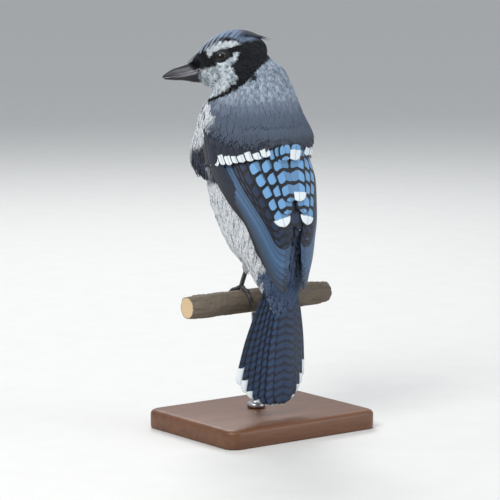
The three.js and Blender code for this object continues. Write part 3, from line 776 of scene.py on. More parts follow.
# %% [markdown]
# The lie of the coat.
# Small feathers point away from the bill on a bird's head and down its neck and body. A brush tool
# could comb them. Here each place on the skin gets its direction by rule, with the regions of the coat
# as numbers from 0 to 1, and the feather trees read both.

# %% Lie, regions and sizes on the skin
skin_normals = numbers_of(skin.data.vertices, "normal", 3).astype(float)
along, _, up_of = in_head(skin_points)
above_collar = over_collar(skin_points)
z_of = skin_points[:, 2]
from_back = np.abs((body_turn(skin_points) - 90) % 360 - 180)
from_bill = unit(skin_points - head_point(30, 0, -4.5))
down = np.broadcast_to(-UP, skin_points.shape)
spread = np.stack([0.12 * np.sign(skin_points[:, 0]), 0 * z_of, 0 * z_of], -1)
head_share = smooth(above_collar / 8 + 0.4)[:, None]
lie = from_bill * head_share + (down + spread * (z_of < 200)[:, None]) * (1 - head_share)
lie = unit(lie - skin_normals * (lie * skin_normals).sum(1, keepdims=True))

BREAST_FROM, NECK_FROM, MANTLE_TO, MANTLE_ROUND = 149, 203, 208, 104
on_thigh = (z_of < 118) & (skin_points[:, 1] > -9) & (np.abs(skin_points[:, 0]) > 4)
hem_here = hem_at(from_back) - 3
under_wing = (from_back < wing_top_at(z_of) - 6) & (z_of < hem_here) & (z_of > 96)
under_tail = (z_of < 95) & (skin_normals[:, 2] < -0.75)
eye_places = [head_point(EYE["along"], side * 12.5, EYE["up"]) for side in (-1, 1)]
eye_gap = np.min([np.linalg.norm(skin_points - place, axis=1) for place in eye_places], axis=0)
bare_bill = (along > 19.3 - 0.25 * (up_of + 5)) & (up_of < -3.2)
on_head = (above_collar > 0) & (eye_gap > 5.2) & ~bare_bill & (along < 25.5)
below = above_collar < NECKLACE[0]
on_neck = (z_of > NECK_FROM) & (from_back < 128)
on_back = from_back < MANTLE_ROUND
front = below & ~under_wing & ~on_thigh
shoulders = below & ~under_wing & (z_of > BREAST_FROM) & (z_of <= hem_here) & on_back
regions = {
    "face": on_head & (along > 1),
    "nape": on_head & (along <= 1),
    "necklace": (above_collar > NECKLACE[0]) & (above_collar < NECKLACE[1]) & (along > NECKLACE_BACK),
    "neck": below & on_neck,
    "mantle": below & (z_of > hem_here) & (z_of < MANTLE_TO) & on_back,
    "breast": (front & (z_of > BREAST_FROM) & ~on_back & ~on_neck) | shoulders,
    "belly": front & (z_of <= BREAST_FROM) & ~under_tail,
    "thigh": on_thigh & ~under_wing,
    "rump": under_wing & (from_back < mix(34, 12, rise(z_of, 100, 30))) & (z_of < 140),
}
for name, where in regions.items():
    store(skin.data, name, where)
store(skin.data, "lie", lie, "FLOAT_VECTOR")
face_size = mix(0.55, 1.15, fall(along, 26, 26)) * mix(1, 1.5, fall(up_of, -14, 5))
body_size = mix(1.0, 0.8, rise(z_of, 200, 34)) * mix(0.55, 1.0, rise(z_of, 80, 30))
store(skin.data, "size", np.where(on_head, face_size, body_size))
# the coat's markings at 0.85 on the skin: painted shade under the feathers
store_tint(skin.data, plumage(skin_points) * 0.85)
print({name: int(where.sum()) for name, where in regions.items()})

# %% The skin's finish and its unwrap for baking
skin_material, skin_tree = new_material("skin_under_coat", Roughness=0.85)
mottle = noise(skin_tree, 600)
cover(skin_tree, grained_tint(skin_tree, 0.4, mottle), mottle, 0.0003, 0.6)
skin.data.materials.append(skin_material)
for each in bpy.data.objects:
    each.select_set(each == skin)
bpy.context.view_layer.objects.active = skin
bpy.ops.object.mode_set(mode="EDIT")
bpy.ops.mesh.select_all(action="SELECT")
bpy.ops.uv.smart_project(angle_limit=math.radians(66), island_margin=0.004)
bpy.ops.object.mode_set(mode="OBJECT")
skin.data.uv_layers[0].name = "OFBake"
skin_search = BVHTree.FromObject(skin, bpy.context.evaluated_depsgraph_get())
skin_uv = numbers_of(skin.data.uv_layers["OFBake"].data, "uv", 2)
print("skin unwrapped", skin_uv.min(0), skin_uv.max(0))

# %% [markdown]
# The shapes of the small feathers.
# A body feather is a cupped blade with a soft tip, and elsewhere it breaks into loose barbs. Four
# shapes cover the bird: a flat vane, a plush of three blades, a loose vane with five barbs, and a tuft
# of three barbs. They have few faces, because each is repeated thousands of times. All are one unit
# long, and the tree gives them their size.


# %% Feather shapes
def blade(stations, width, cup, ridge, yaw=0.0, length=1.0):
    """A closed blade, four points at each station and one at the tip, and its points' own two numbers."""
    points, own = [], []
    for t, share in stations[:-1]:
        half = width * share / 2
        height = cup * math.sin(math.pi * min(1, t * 0.9)) + 0.02
        for across, lift, edge in ((half, 0, 1), (0, ridge, 0), (-half, 0, -1), (0, -ridge * 0.35, 0)):
            points.append((t * length, across, height + lift))
            own.append((t, edge))
    points.append((length, 0, cup * 0.25))
    own.append((1, 0))
    points = np.array(points)
    turned = points.copy()
    turned[:, 0] = points[:, 0] * math.cos(yaw) - points[:, 1] * math.sin(yaw)
    turned[:, 1] = points[:, 0] * math.sin(yaw) + points[:, 1] * math.cos(yaw)
    rows = len(stations) - 1
    tip = rows * 4
    faces = ring_faces(rows, 4) + [[3, 2, 1, 0]]
    faces += [[tip - 4 + k, tip - 4 + (k + 1) % 4, tip] for k in range(4)]
    return (turned, faces), own


def feather_shape(name, blades):
    mesh = new_mesh(name, [(points / MM, faces) for (points, faces), _ in blades])
    own = np.concatenate([own for _, own in blades])
    store(mesh, "along", own[:, 0])
    store(mesh, "across", own[:, 1])
    return link_object(name, mesh)


# how far along each station is, and its share of the width
CONTOUR = [(0, 0.3), (0.22, 0.78), (0.5, 1), (0.78, 0.88), (0.94, 0.5), (1, 0)]
BARB = [(0, 0.7), (0.5, 1), (1, 0)]
PLUSH = [(0, 0.6), (0.4, 1), (0.8, 0.8), (1, 0)]
# how far each barb or blade of a fan is turned, and its length
PLUSH_FAN = [(-0.24, 0.88), (-0.02, 1.05), (0.23, 0.9)]
LOOSE_FAN = [(-0.34, 0.86), (-0.17, 1.04), (0.03, 1.1), (0.2, 1.0), (0.36, 0.84)]
TUFT_FAN = [(-0.3, 0.85), (0.02, 1.05), (0.32, 0.88)]
vane_shape = feather_shape("contour_feather", [blade(CONTOUR, 0.62, 0.045, 0.022)])
plush_shape = feather_shape("plush_feather", [blade(PLUSH, 0.27, 0.045, 0.03, *barb) for barb in PLUSH_FAN])
loose_shape = feather_shape("loose_feather", [blade(CONTOUR, 0.34, 0.08, 0.05)] + [
    blade(BARB, 0.13, 0.1 + 0.02 * k, 0.03, *barb) for k, barb in enumerate(LOOSE_FAN)
])
tuft_shape = feather_shape("face_tuft", [blade(BARB, 0.26, 0.07, 0.06, *barb) for barb in TUFT_FAN])
feather_shapes = (vane_shape, plush_shape, loose_shape, tuft_shape)
print("triangles of a feather", [triangles_of(shape.data) for shape in feather_shapes])

# %% [markdown]
# Laying the coat.
# Thousands of feathers follow one rule: scatter roots over a region of the skin, turn each feather to
# the lie, and vary it a little. Geometry Nodes do this in one tree for every region, with its sizes as
# inputs and a fixed seed. Each feather keeps its root, so its colour can come from the markings there.

# %% The tree that lays feathers
COAT_INPUTS = {"Skin": "Geometry", "Feather": "Object", "Region": "String", "Spacing": "Float",
               "Length": "Float", "Variation": "Float", "Turn": "Float", "Lift": "Float", "Seed": "Int",
               "Finish": "Material"}
# the most roots on a square metre, more than any spacing has room for
DENSEST = 4e6


def coat_tree():
    tree = bpy.data.node_groups.new("lay_feathers", "GeometryNodeTree")
    for name, kind in COAT_INPUTS.items():
        tree.interface.new_socket(name, in_out="INPUT", socket_type="NodeSocket" + kind)
    tree.interface.new_socket("Coat", in_out="OUTPUT", socket_type="NodeSocketGeometry")
    given = tree.nodes.new("NodeGroupInput").outputs
    end = tree.nodes.new("NodeGroupOutput")
    calc = partial(math_node, tree)

    def made(kind, inputs=None, **fields):
        return add(tree, kind, inputs, **fields).outputs

    def named(name, kind):
        return made("GeometryNodeInputNamedAttribute", {"Name": name}, data_type=kind)[0]

    region = named(given["Region"], "FLOAT")
    scatter = {"Mesh": given["Skin"], "Distance Min": given["Spacing"], "Density Max": DENSEST,
               "Density Factor": region, "Seed": given["Seed"]}
    scattered = made("GeometryNodeDistributePointsOnFaces", scatter, distribute_method="POISSON")
    here = made("GeometryNodeInputPosition")[0]
    keep = {"Geometry": scattered["Points"], "Name": "root", "Value": here}
    rooted = made("GeometryNodeStoreNamedAttribute", keep, data_type="FLOAT_VECTOR")[0]
    axes = {"Primary Axis": scattered["Normal"], "Secondary Axis": named("lie", "FLOAT_VECTOR")}
    combed = made("FunctionNodeAxesToRotation", axes, primary_axis="Z", secondary_axis="X")[0]
    back, lifted = calc("MULTIPLY", given["Turn"], -1.0), calc("MULTIPLY", given["Lift"], -1.0)
    low = made("ShaderNodeCombineXYZ", {0: back, 1: lifted, 2: back})[0]
    high = made("ShaderNodeCombineXYZ", {0: given["Turn"], 1: 0.0, 2: given["Turn"]})[0]
    reach = {"Min": low, "Max": high, "Seed": given["Seed"]}
    angles = made("FunctionNodeRandomValue", reach, data_type="FLOAT_VECTOR")[0]
    turn = {"Rotation": combed, "Rotate By": made("FunctionNodeEulerToRotation", {"Euler": angles})[0]}
    turned = made("FunctionNodeRotateRotation", turn, rotation_space="LOCAL")[0]
    least, most = calc("SUBTRACT", 1.0, given["Variation"]), calc("ADD", 1.0, given["Variation"])
    vary = {2: least, 3: most, "ID": 0, "Seed": given["Seed"]}
    varied = made("FunctionNodeRandomValue", vary, data_type="FLOAT")[1]
    size = calc("MULTIPLY", calc("MULTIPLY", named("size", "FLOAT"), given["Length"]), varied)
    shape = made("GeometryNodeObjectInfo", {"Object": given["Feather"]})["Geometry"]
    lay = {"Points": rooted, "Instance": shape, "Rotation": turned, "Scale": size}
    laid = made("GeometryNodeInstanceOnPoints", lay)[0]
    real = made("GeometryNodeRealizeInstances", {"Geometry": laid})[0]
    coat = made("GeometryNodeSetMaterial", {"Geometry": real, "Material": given["Finish"]})[0]
    tree.links.new(coat, end.inputs[0])
    return tree


LAY_FEATHERS = coat_tree()
print("coat tree with", len(LAY_FEATHERS.nodes), "nodes")

# %% Laying one region
PATCH = 0.003


def set_inputs(modifier, tree, values):
    for item in tree.interface.items_tree:
        if item.in_out == "INPUT" and item.name in values:
            modifier[item.identifier] = values[item.name]


def store_unwrap(mesh, uv):
    """Writes the OFBake map's place of every corner, from one place for every point."""
    corner_vertex = numbers_of(mesh.loops, "vertex_index", 1, np.int32)[:, 0]
    made = mesh.uv_layers.new(name="OFBake")
    made.data.foreach_set("uv", uv[corner_vertex].astype(np.float32).ravel())


def bake_patches(mesh, roots, along, across):
    """Gives each feather a small patch at its root's place on the skin's unwrap."""
    places, which = np.unique(roots.round(4), axis=0, return_inverse=True)
    centres = np.empty((len(places), 2))
    for i, root in enumerate(places):
        nearest, _, face, _ = skin_search.find_nearest(Vector(root * MM))
        polygon = skin.data.polygons[face]
        corners = [skin.data.vertices[v].co for v in polygon.vertices]
        weights = np.array([1 / ((corner - nearest).length + 1e-6) for corner in corners])
        uv = skin_uv[polygon.loop_start:polygon.loop_start + len(corners)]
        centres[i] = weights @ uv / weights.sum()
    store_unwrap(mesh, centres[which.ravel()] + PATCH * np.stack([along - 0.5, 0.5 * across], -1))


def lay_coat(name, region, shape, spacing, length, seed, lift, turn=0.16, mottled=0.06,
             slot="mantle_feathers"):
    coat = link_object(name, skin.data)
    modifier = coat.modifiers.new("feathers", "NODES")
    modifier.node_group = LAY_FEATHERS
    set_inputs(modifier, LAY_FEATHERS, {
        "Feather": shape, "Region": region, "Spacing": spacing * MM, "Length": length * MM, "Turn": turn,
        "Variation": 0.18, "Lift": lift, "Seed": seed, "Finish": coat_finish,
    })
    mesh = evaluated(coat)
    mesh.name = name
    kept = mesh.attributes
    roots = numbers_of(kept["root"].data, "vector", 3).astype(float) / MM
    along, across = (numbers_of(kept[key].data, "value")[:, 0].astype(float) for key in ("along", "across"))
    each, which = np.unique(roots.round(4), axis=0, return_inverse=True)
    shade = np.random.default_rng(seed).normal(1, mottled, len(each))[which.ravel()]
    # each feather darker towards its root: painted shade where the feathers overlap
    depth = mix(0.88, 1.03, smooth(along / 0.8))
    store_tint(mesh, np.clip(plumage(roots) * (shade * depth)[:, None], 0, 1))
    bake_patches(mesh, roots, along, across)
    mesh.attributes.remove(mesh.attributes["root"])
    mesh.shade_smooth()
    dress(coat, slot)
    print(name, len(each), "feathers", triangles_of(mesh), "triangles")


print("each feather's patch is", PATCH, "of the unwrap")

# %% [markdown]
# The coat, region by region.
# On the face feathers are tiny tufts that grow longer towards the nape, and the necklace is a region of
# its own so that its line is crisp. Neck and mantle are a smooth plush of small overlapping blades, and
# the rump has flat vanes. Breast and belly are loose and fluffy, and the thighs are downy. Each region
# is one call with its own shape, spacing and length.

# %% Coat of head, body and thighs
lay_coat("face_feathers", "face", tuft_shape, 0.72, 2.7, seed=3, lift=0.12, slot="head_feathers")
lay_coat("nape_feathers", "nape", tuft_shape, 0.85, 3.2, seed=4, lift=0.1, slot="head_feathers")
lay_coat("necklace_feathers", "necklace", tuft_shape, 0.6, 2.5, seed=10, lift=0.16, slot="head_feathers")
lay_coat("neck_feathers", "neck", plush_shape, 1.05, 4.6, seed=12, lift=0.06, turn=0.2, mottled=0.1)
lay_coat("mantle_coat", "mantle", plush_shape, 1.3, 7.2, seed=5, lift=0.03, turn=0.12, mottled=0.05)
lay_coat("rump_coat", "rump", vane_shape, 1.6, 8, seed=9, lift=0.05, turn=0.12, slot="tail_feathers")
lay_coat("breast_coat", "breast", loose_shape, 1.75, 7.8, seed=6, lift=0.05, turn=0.12, mottled=0.03)
lay_coat("belly_coat", "belly", loose_shape, 1.9, 9, seed=7, lift=0.06, turn=0.14, mottled=0.03)
lay_coat("thigh_down", "thigh", loose_shape, 1.5, 5.5, seed=8, lift=0.14, turn=0.22, slot="leg_feathers")
for shape in feather_shapes:
    bpy.data.objects.remove(shape)
dress(skin, "mantle_feathers", "head", "neck", "torso", "leg_left", "leg_right")

# %% [markdown]
# The big feathers.
# Flight and tail feathers are long vanes on a stiff shaft, each lying on the next. Every one is a thin
# closed sheet that follows a path over the wing's bed, cambered across and narrowed to a rounded tip.
# The sheet carries its own measures, the distance from its tip and from its shaft, so the finish can
# draw bars and pale tips at true size.


# %% Vanes with their own measures
def vane(lie_at, width_at, length, rows, columns, thickness, values):
    """A closed vane. lie_at(t, across, sunk) gives its points, and values are its numbers for the finish."""
    t = np.linspace(0, 1, rows)[:, None] ** 0.9
    edge = np.linspace(-1, 1, columns)[None, :]
    share = width_at(t[:, 0])[:, :1]
    rounded = np.sqrt(np.clip(1 - ((t - 0.9) / 0.1) ** 2, 0.02, 1))
    share = share * np.where(t > 0.9, rounded, 1)
    across = share * edge / 2
    t_all = np.broadcast_to(t, across.shape)
    top = lie_at(t_all, across, 0.0)
    bottom = lie_at(t_all, across, thickness * (1 - 0.7 * np.abs(edge) ** 2) * (1 - 0.5 * t_all))
    count = rows * columns
    grid = np.arange(count).reshape(rows, columns)
    quads = np.stack([grid[:-1, :-1], grid[:-1, 1:], grid[1:, 1:], grid[1:, :-1]], -1).reshape(-1, 4)
    faces = quads.tolist() + (quads[:, ::-1] + count).tolist()
    rim = np.concatenate([grid[0, :-1], grid[:-1, -1], grid[-1, :0:-1], grid[:0:-1, 0]])
    following = np.roll(rim, -1)
    faces += np.stack([following, rim, rim + count, following + count], -1).tolist()
    measures = {
        "from_tip": np.tile(((1 - t_all) * length).ravel(), 2),
        "across": np.tile(across.ravel(), 2),
        "edge": np.tile(np.broadcast_to(edge, across.shape).ravel(), 2),
        "down": np.tile(t_all.ravel(), 2),
        "root": np.tile(top[0].mean(0), (2 * count, 1)),
    }
    for name, value in values.items():
        measures[name] = np.tile(np.asarray(value, float), (2 * count, 1)).squeeze()
    return (np.concatenate([top.reshape(-1, 3), bottom.reshape(-1, 3)]), faces), measures


def joined(vanes, key):
    """One measure of all the vanes of a piece."""
    return np.concatenate([measures[key] for _, measures in vanes])


def feather_cells(mesh, vanes):
    """Unwraps long feathers for baking, each one into a cell of its own, in two columns."""
    rows = math.ceil(len(vanes) / 2)
    cells = []
    for k, (_, measures) in enumerate(vanes):
        along = 0.5 * (k % 2) + 0.01 + 0.48 * measures["down"]
        over = (k // 2 + 0.5 + 0.45 * measures["edge"]) / rows
        cells.append(np.stack([along, over], -1))
    store_unwrap(mesh, np.concatenate(cells))


def vane_piece(name, vanes, material, slot, node):
    mesh = new_mesh(name, [part for part, _ in vanes])
    feather_cells(mesh, vanes)
    for key in vanes[0][1]:
        if key == "tint":
            store_tint(mesh, joined(vanes, key))
        elif key not in ("root", "down"):
            store(mesh, key, joined(vanes, key))
    mesh.materials.append(material)
    dress(link_object(name, mesh), slot, node)
    print(name, len(vanes), "feathers", triangles_of(mesh), "triangles")


print("a vane of 40 by 11 places has", 2 * 40 * 11, "points")

# %% [markdown]
# The finish of the big feathers.
# A blue jay's wing and tail are sky blue crossed by black bars, with white tips and a dark shaft.
# Between the bars and the dark rim, rounded squares of blue show. They are drawn from the distance to a
# square's middle: raised to a power, it stays small over most of the square and grows fast at its edge.
# The white is the last few millimetres at the tip.

# %% Vane finish
BARB_INK, BAR_INK, WEB_INK, SHAFT_INK = (rgba(*swatch) for swatch in (
    (20, 26, 36), (14, 18, 28), (20, 22, 30), (22, 22, 28)
))
TIP_WHITE = rgba(228, 236, 240)
SQUARE_SHARPNESS = (3.0, -2.4)


def vane_material(name, period, bar, depth, waver):
    material, tree = new_material(name, Roughness=0.5, Specular_IOR_Level=0.35, Sheen_Weight=0.1)
    calc, mark = partial(math_node, tree), partial(attribute, tree)
    tip, across, edge = mark("from_tip"), mark("across"), mark("edge")
    wobble = calc("MULTIPLY", calc("SUBTRACT", noise(tree, 260), 0.5), waver)
    out_from_shaft = calc("ABSOLUTE", across)
    bent = calc("ADD", calc("ADD", tip, wobble), calc("MULTIPLY", out_from_shaft, 0.35))
    phase = calc("FRACT", calc("DIVIDE", bent, period))
    near_bar = calc("ABSOLUTE", calc("SUBTRACT", phase, 0.5))
    from_middle = calc("DIVIDE", calc("SUBTRACT", 0.5, near_bar), 0.5 - bar / period / 2)
    along_square = calc("MULTIPLY", calc("POWER", from_middle, 4.0), mark("bars"))
    across_square = calc("POWER", calc("DIVIDE", calc("ABSOLUTE", edge), 0.8), 6.0)
    across_square = calc("MULTIPLY", across_square, mark("rim"))
    ridges = barbs(tree, tip, across, 1.6)
    color = blend_colors(tree, calc("MULTIPLY", ridges, 0.22), mark("tint", "Color"), BARB_INK)
    outside = calc("MULTIPLY_ADD", calc("ADD", along_square, across_square), *SQUARE_SHARPNESS, clamp=True)
    color = blend_colors(tree, calc("MULTIPLY", outside, depth), color, BAR_INK)
    dark_web = calc("MULTIPLY_ADD", across_square, *SQUARE_SHARPNESS, clamp=True)
    inner = calc("MULTIPLY_ADD", across, -2.2, 0.2, clamp=True)
    color = blend_colors(tree, calc("MULTIPLY", inner, mark("inner")), color, WEB_INK)
    white = calc("SUBTRACT", mark("white"), calc("ADD", tip, wobble))
    white = calc("MULTIPLY_ADD", white, 2.0, 0.5, clamp=True)
    parted = calc("SUBTRACT", 1.0, calc("MULTIPLY", dark_web, mark("parted")), clamp=True)
    color = blend_colors(tree, calc("MULTIPLY", white, parted), color, TIP_WHITE)
    shaft = calc("MULTIPLY_ADD", out_from_shaft, -5.0, 1.2, clamp=True)
    color = blend_colors(tree, calc("MULTIPLY", shaft, 0.5), color, SHAFT_INK)
    cover(tree, color, calc("ADD", ridges, calc("MULTIPLY", shaft, 3.0)), 0.00012, 0.6)
    return material


wing_finish = vane_material("wing_vanes", period=7.6, bar=2.1, depth=1.0, waver=1.8)
tail_finish = vane_material("tail_vanes", period=4.8, bar=1.7, depth=0.85, waver=3.2)
print("finishes", wing_finish.name, tail_finish.name)

# %% [markdown]
# The folded wings.
# A folded wing is a stack of feathers fanned over the back: the innermost lie on top and every next one
# shows its outer edge. Feathers could be placed one by one. Here each group runs between a first and a
# last path, three places over the wing's bed, and the others are laid between them.


# %% The wing's groups of feathers
def group(count, width, first, last, tint, lift=0.0, widths="short", tips=None, **marks):
    """A run of feathers between two paths, each a root, a bend and a tip: the way round and the height."""
    marks = {"bars": 0, "white": 0, "rim": 0, "inner": 0, "parted": 0, **marks}
    return SimpleNamespace(count=count, width=width, first=first, last=last, tint=tint, lift=lift,
                           widths=widths, tips=tips, marks=marks)


SQUARE_BLUE, DEEP_BLUE, BAND_BLUE = paint(116, 168, 216), paint(34, 50, 78), paint(74, 106, 142)
SLATE_BLUE, EDGE_BLACK, COVERT_BLUE = paint(30, 38, 56), paint(34, 36, 44), paint(46, 54, 70)
FLIGHT_GROUPS = [
    group(3, (12, 12), [(9, 186), (4.4, 168), (2.8, 148)], [(27, 184), (14, 160), (7.5, 133)],
          (SQUARE_BLUE, SQUARE_BLUE), tips={-1: (0, 0, 1), 1: (1, 0, 1)},
          bars=1, white=5.2, rim=1, inner=0.3),
    group(3, (11.5, 11.5), [(32, 183), (18, 155), (8.5, 129)], [(38, 180.5), (18.5, 151), (6, 119)],
          (DEEP_BLUE, DEEP_BLUE), bars=1, rim=0.6, inner=0.4),
    group(3, (11, 11), [(41, 179.2), (18.2, 149), (5.8, 115)], [(46, 176.5), (20.2, 145.5), (6.2, 107)],
          (BAND_BLUE * 0.9, BAND_BLUE), inner=0.25),
    group(4, (10, 10), [(47, 175.9), (20.8, 144.9), (6.5, 103)], [(49, 174), (22.5, 143), (7.5, 91.5)],
          (BAND_BLUE * 0.85, paint(56, 66, 80)), inner=0.5),
    group(3, (9, 9), [(49.6, 173.3), (23.3, 143), (10, 97)], [(50.5, 172), (25.5, 143), (18, 112)],
          (paint(44, 50, 60), EDGE_BLACK), rim=0.4, inner=0.6),
]
COVERT_GROUPS = [
    group(2, (12, 12), [(6, 178), (4.4, 158), (3.6, 130)], [(14, 178), (8, 155), (4.6, 121)],
          (DEEP_BLUE, DEEP_BLUE), lift=1.3, bars=1, rim=0.6),
    group(8, (7.6, 5), [(19, 189), (16, 182.5), (14.4, 175.4)], [(49, 186), (47, 178), (43.5, 169.2)],
          (SLATE_BLUE, SLATE_BLUE), lift=3.7, white=5.6, rim=1, parted=1),
    group(3, (6.5, 6.5), [(51, 188), (49, 180), (46.5, 170.5)], [(57, 186), (55, 179), (52.5, 169)],
          (SLATE_BLUE, EDGE_BLACK), lift=3.2, rim=0.3),
    group(3, (8.5, 8.5), [(4.5, 188), (3.2, 180), (2.6, 173.5)], [(14, 189), (10, 181), (8, 170.5)],
          (SQUARE_BLUE, SQUARE_BLUE), lift=4.2, tips={-1: (0, 0, 0), 1: (1, 0, 0)},
          bars=1, white=6.5, rim=1),
    group(9, (7.5, 7.5), [(8, 189), (7, 185), (6, 180.5)], [(55, 191), (53.5, 186), (51.5, 179.5)],
          (COVERT_BLUE, SLATE_BLUE), lift=3.2, rim=0.1),
    group(6, (7.5, 7.5), [(30, 190), (29, 188), (28, 184.5)], [(56, 194), (54.5, 191), (53, 186)],
          (COVERT_BLUE, SLATE_BLUE), lift=2.6, rim=0.1),
    group(6, (5.6, 5.6), [(50, 182), (43, 165), (26, 141)], [(55.5, 180), (50, 162), (30, 134)],
          (SLATE_BLUE, EDGE_BLACK), lift=2.4, widths="tapered"),
]
long_width = through([[0, 0.55], [0.45, 1], [0.87, 0.9], [1, 0.8]])
SHORT_WIDTHS = {"short": through([[0, 0.7], [0.5, 1], [0.85, 0.92], [1, 0.8]]),
                "tapered": through([[0, 0.7], [0.4, 1], [0.75, 0.7], [1, 0.2]])}
print("feathers of a wing", sum(run.count for run in FLIGHT_GROUPS + COVERT_GROUPS))


# %% Wings
def wing_point(side, round_at, z, out):
    bed = wing_bed_at(z)
    y, half, back = bed[..., 0], bed[..., 1], bed[..., 2]
    turn = 2 * round_at / (half + back)
    return np.stack([side * (half + out) * np.sin(turn), y - (back + out) * np.cos(turn), z], -1)


def wing_vane(side, path, width, lift, tilt, widths, rows, values):
    root, bend, tip = path

    def lie_at(t, across, sunk):
        t_ = t[..., None]
        middle = (1 - t_) ** 2 * root + 2 * t_ * (1 - t_) * bend + t_ * t_ * tip
        slope = unit((1 - t_) * (bend - root) + t_ * (tip - bend))
        round_at = middle[..., 0] - across * slope[..., 1]
        z = middle[..., 1] + across * slope[..., 0]
        camber = 0.35 * (1 - (2 * across / width) ** 2)
        raised = mix(-0.9, lift, smooth(2.6 * t)) + tilt * across + camber - sunk
        return wing_point(side, round_at, z, raised)

    length = np.linalg.norm(bend - root) + np.linalg.norm(tip - bend)
    return vane(lie_at, lambda t: width * widths(t), length * 0.96, rows, 11, 0.5, values)


def members(run, side):
    """Each feather of a run: its share of the way, path, width and numbers for the finish."""
    first, last = np.array(run.first, float), np.array(run.last, float)
    for share in np.linspace(0, 1, run.count):
        marks = dict(run.marks)
        marks["tint"] = mix(*run.tint, share) * DRAW.uniform(0.92, 1.06)
        if run.tips:
            own = run.tips[side]
            marks["white"] *= own[round(share * (len(own) - 1))]
        yield share, mix(first, last, share), mix(*run.width, share), marks


def wing_vanes(side):
    made, total = [], sum(run.count for run in FLIGHT_GROUPS)
    for run in FLIGHT_GROUPS:
        for _, path, width, marks in members(run, side):
            lift = mix(3.6, 1.5, len(made) / (total - 1))
            made.append(wing_vane(side, path, width, lift, 0.12, long_width, 40, marks))
    for run in COVERT_GROUPS:
        for share, path, width, marks in members(run, side):
            marks["white"] *= DRAW.uniform(0.72, 1.1)
            lift, widths = run.lift - 0.9 * share, SHORT_WIDTHS[run.widths]
            path = path + DRAW.uniform(-0.5, 0.5, 2)
            made.append(wing_vane(side, path, width, lift, 0.08, widths, 16, marks))
    return made


for word, side in SIDES:
    vane_piece(f"wing_vanes_{word}", wing_vanes(side), wing_finish, "wing_feathers", f"wing_{word}")

# %% [markdown]
# The tail.
# Twelve feathers make the tail. Folded, they lie under one another like a roof, the middle pair on top.
# Blue with thin black bars, the outer ones end in white. They follow the same path function as the
# solid tail, and the rump's small feathers hide their roots.

# %% Tail
TAIL = {"apex": 150, "root": 93, "width": 14, "roof": 0.0075, "y": -23.4, "swing": 0.085, "bottom": 19.5}
TAIL_WHITE = [0.6, 0.8, 2.5, 6, 9, 12]
TAIL_BLUE, TAIL_DEEP = paint(35, 60, 95), paint(26, 46, 74)
tail_width = through([[0, 0.42], [0.25, 0.75], [0.6, 1], [0.9, 0.97], [1, 0.9]])


def tail_point(across, z, out):
    middle, roof = TAIL["swing"] * (108 - z), TAIL["roof"] * across**2
    return np.stack([across - middle, TAIL["y"] + roof - out, z], -1)


def tail_vane(side, rank):
    fan = side * (0.023 + 0.032 * rank)
    tip = TAIL["bottom"] + 0.55 * rank**2
    lift = 2.2 - 0.75 * rank + (side > 0 and rank == 0)

    def lie_at(t, across, sunk):
        z = mix(TAIL["root"], tip, t)
        camber = 0.3 * (1 - (2 * across / TAIL["width"]) ** 2)
        out = lift + 0.06 * side * across + camber - sunk
        return tail_point(fan * (TAIL["apex"] - z) + across, z - fan * across, out)

    tint = mix(TAIL_BLUE, TAIL_DEEP, rank / 5) * DRAW.uniform(0.85, 1.15)
    values = {"tint": tint, "bars": 1, "white": TAIL_WHITE[rank], "rim": 0.1, "inner": 0, "parted": 0}
    return vane(lie_at, lambda t: TAIL["width"] * tail_width(t), TAIL["root"] - tip, 44, 11, 0.5, values)


tail_vanes = [tail_vane(side, rank) for rank in range(6) for side in (-1, 1)]
vane_piece("tail_vanes", tail_vanes, tail_finish, "tail_feathers", "tail")

# %% [markdown]
# The crest.
# A calm jay lays its crest back over its crown, with the longest feathers reaching past the nape. They
# are vanes again, laid over the crown's own curve in rows from the forehead to the nape, in the soft
# coat's finish.

# %% Crest
# where a row's roots and tips are along the head, how many feathers it has, their spread and their height
CREST_ROWS = [
    (20, 12, 12, 4.6, 0.25), (17.5, 8, 15, 6, 0.3), (14.5, 4, 18, 7.6, 0.3), (11, 0, 20, 8.8, 0.35),
    (7.5, -4, 22, 9.6, 0.4), (4, -9, 22, 10, 0.45), (0.5, -13.5, 21, 9.8, 0.5), (-3, -18, 18, 9, 0.6),
    (-5, -22, 14, 7.4, 0.75), (-6, -23.5, 9, 4.4, -0.3), (-7, -25, 9, 3.4, 0.8),
]
CREST_BLUE, CREST_PALE, CREST_END = paint(86, 102, 134), paint(164, 178, 196), paint(34, 38, 48)
CREST_WIDTHS = {"front": 2.7, "back": 3.6, "back_from": -22}
# behind this place the crest leaves the crown and slopes down by this much a millimetre
CREST_FREE, CREST_SLOPE = -15, 0.36
crest_width = through([[0, 0.5], [0.3, 1], [0.7, 0.85], [1, 0.3]])


def over_crown(along, side, out):
    held = np.maximum(along, CREST_FREE)
    rows = head_at(held)
    crown, throat, half = rows[..., 0], rows[..., 1], rows[..., 2]
    drop = (crown - throat) / 2 * (1 - np.sqrt(np.maximum(0.2, 1 - (side / half) ** 2)))
    return head_point(along, side, crown - drop - CREST_SLOPE * (held - along) + out)


def crest_vane(root, tip, spread, lift, lean):
    end = tip + 5 * lean * lean + DRAW.uniform(-1, 1)
    sway = DRAW.uniform(-0.8, 0.8)
    width = CREST_WIDTHS["front" if tip > CREST_WIDTHS["back_from"] else "back"]

    def lie_at(t, across, sunk):
        side = lean * spread * (1 - 0.55 * t * t) + across + sway * t
        camber = 0.11 * (1 - (2 * across / width) ** 2)
        return over_crown(mix(root, end, t), side, mix(-0.9, lift, smooth(1.6 * t)) + camber - sunk)

    shade = {"shade": DRAW.normal(1, 0.07)}
    return vane(lie_at, lambda t: width * crest_width(t), root - end, 14, 5, 0.22, shade)


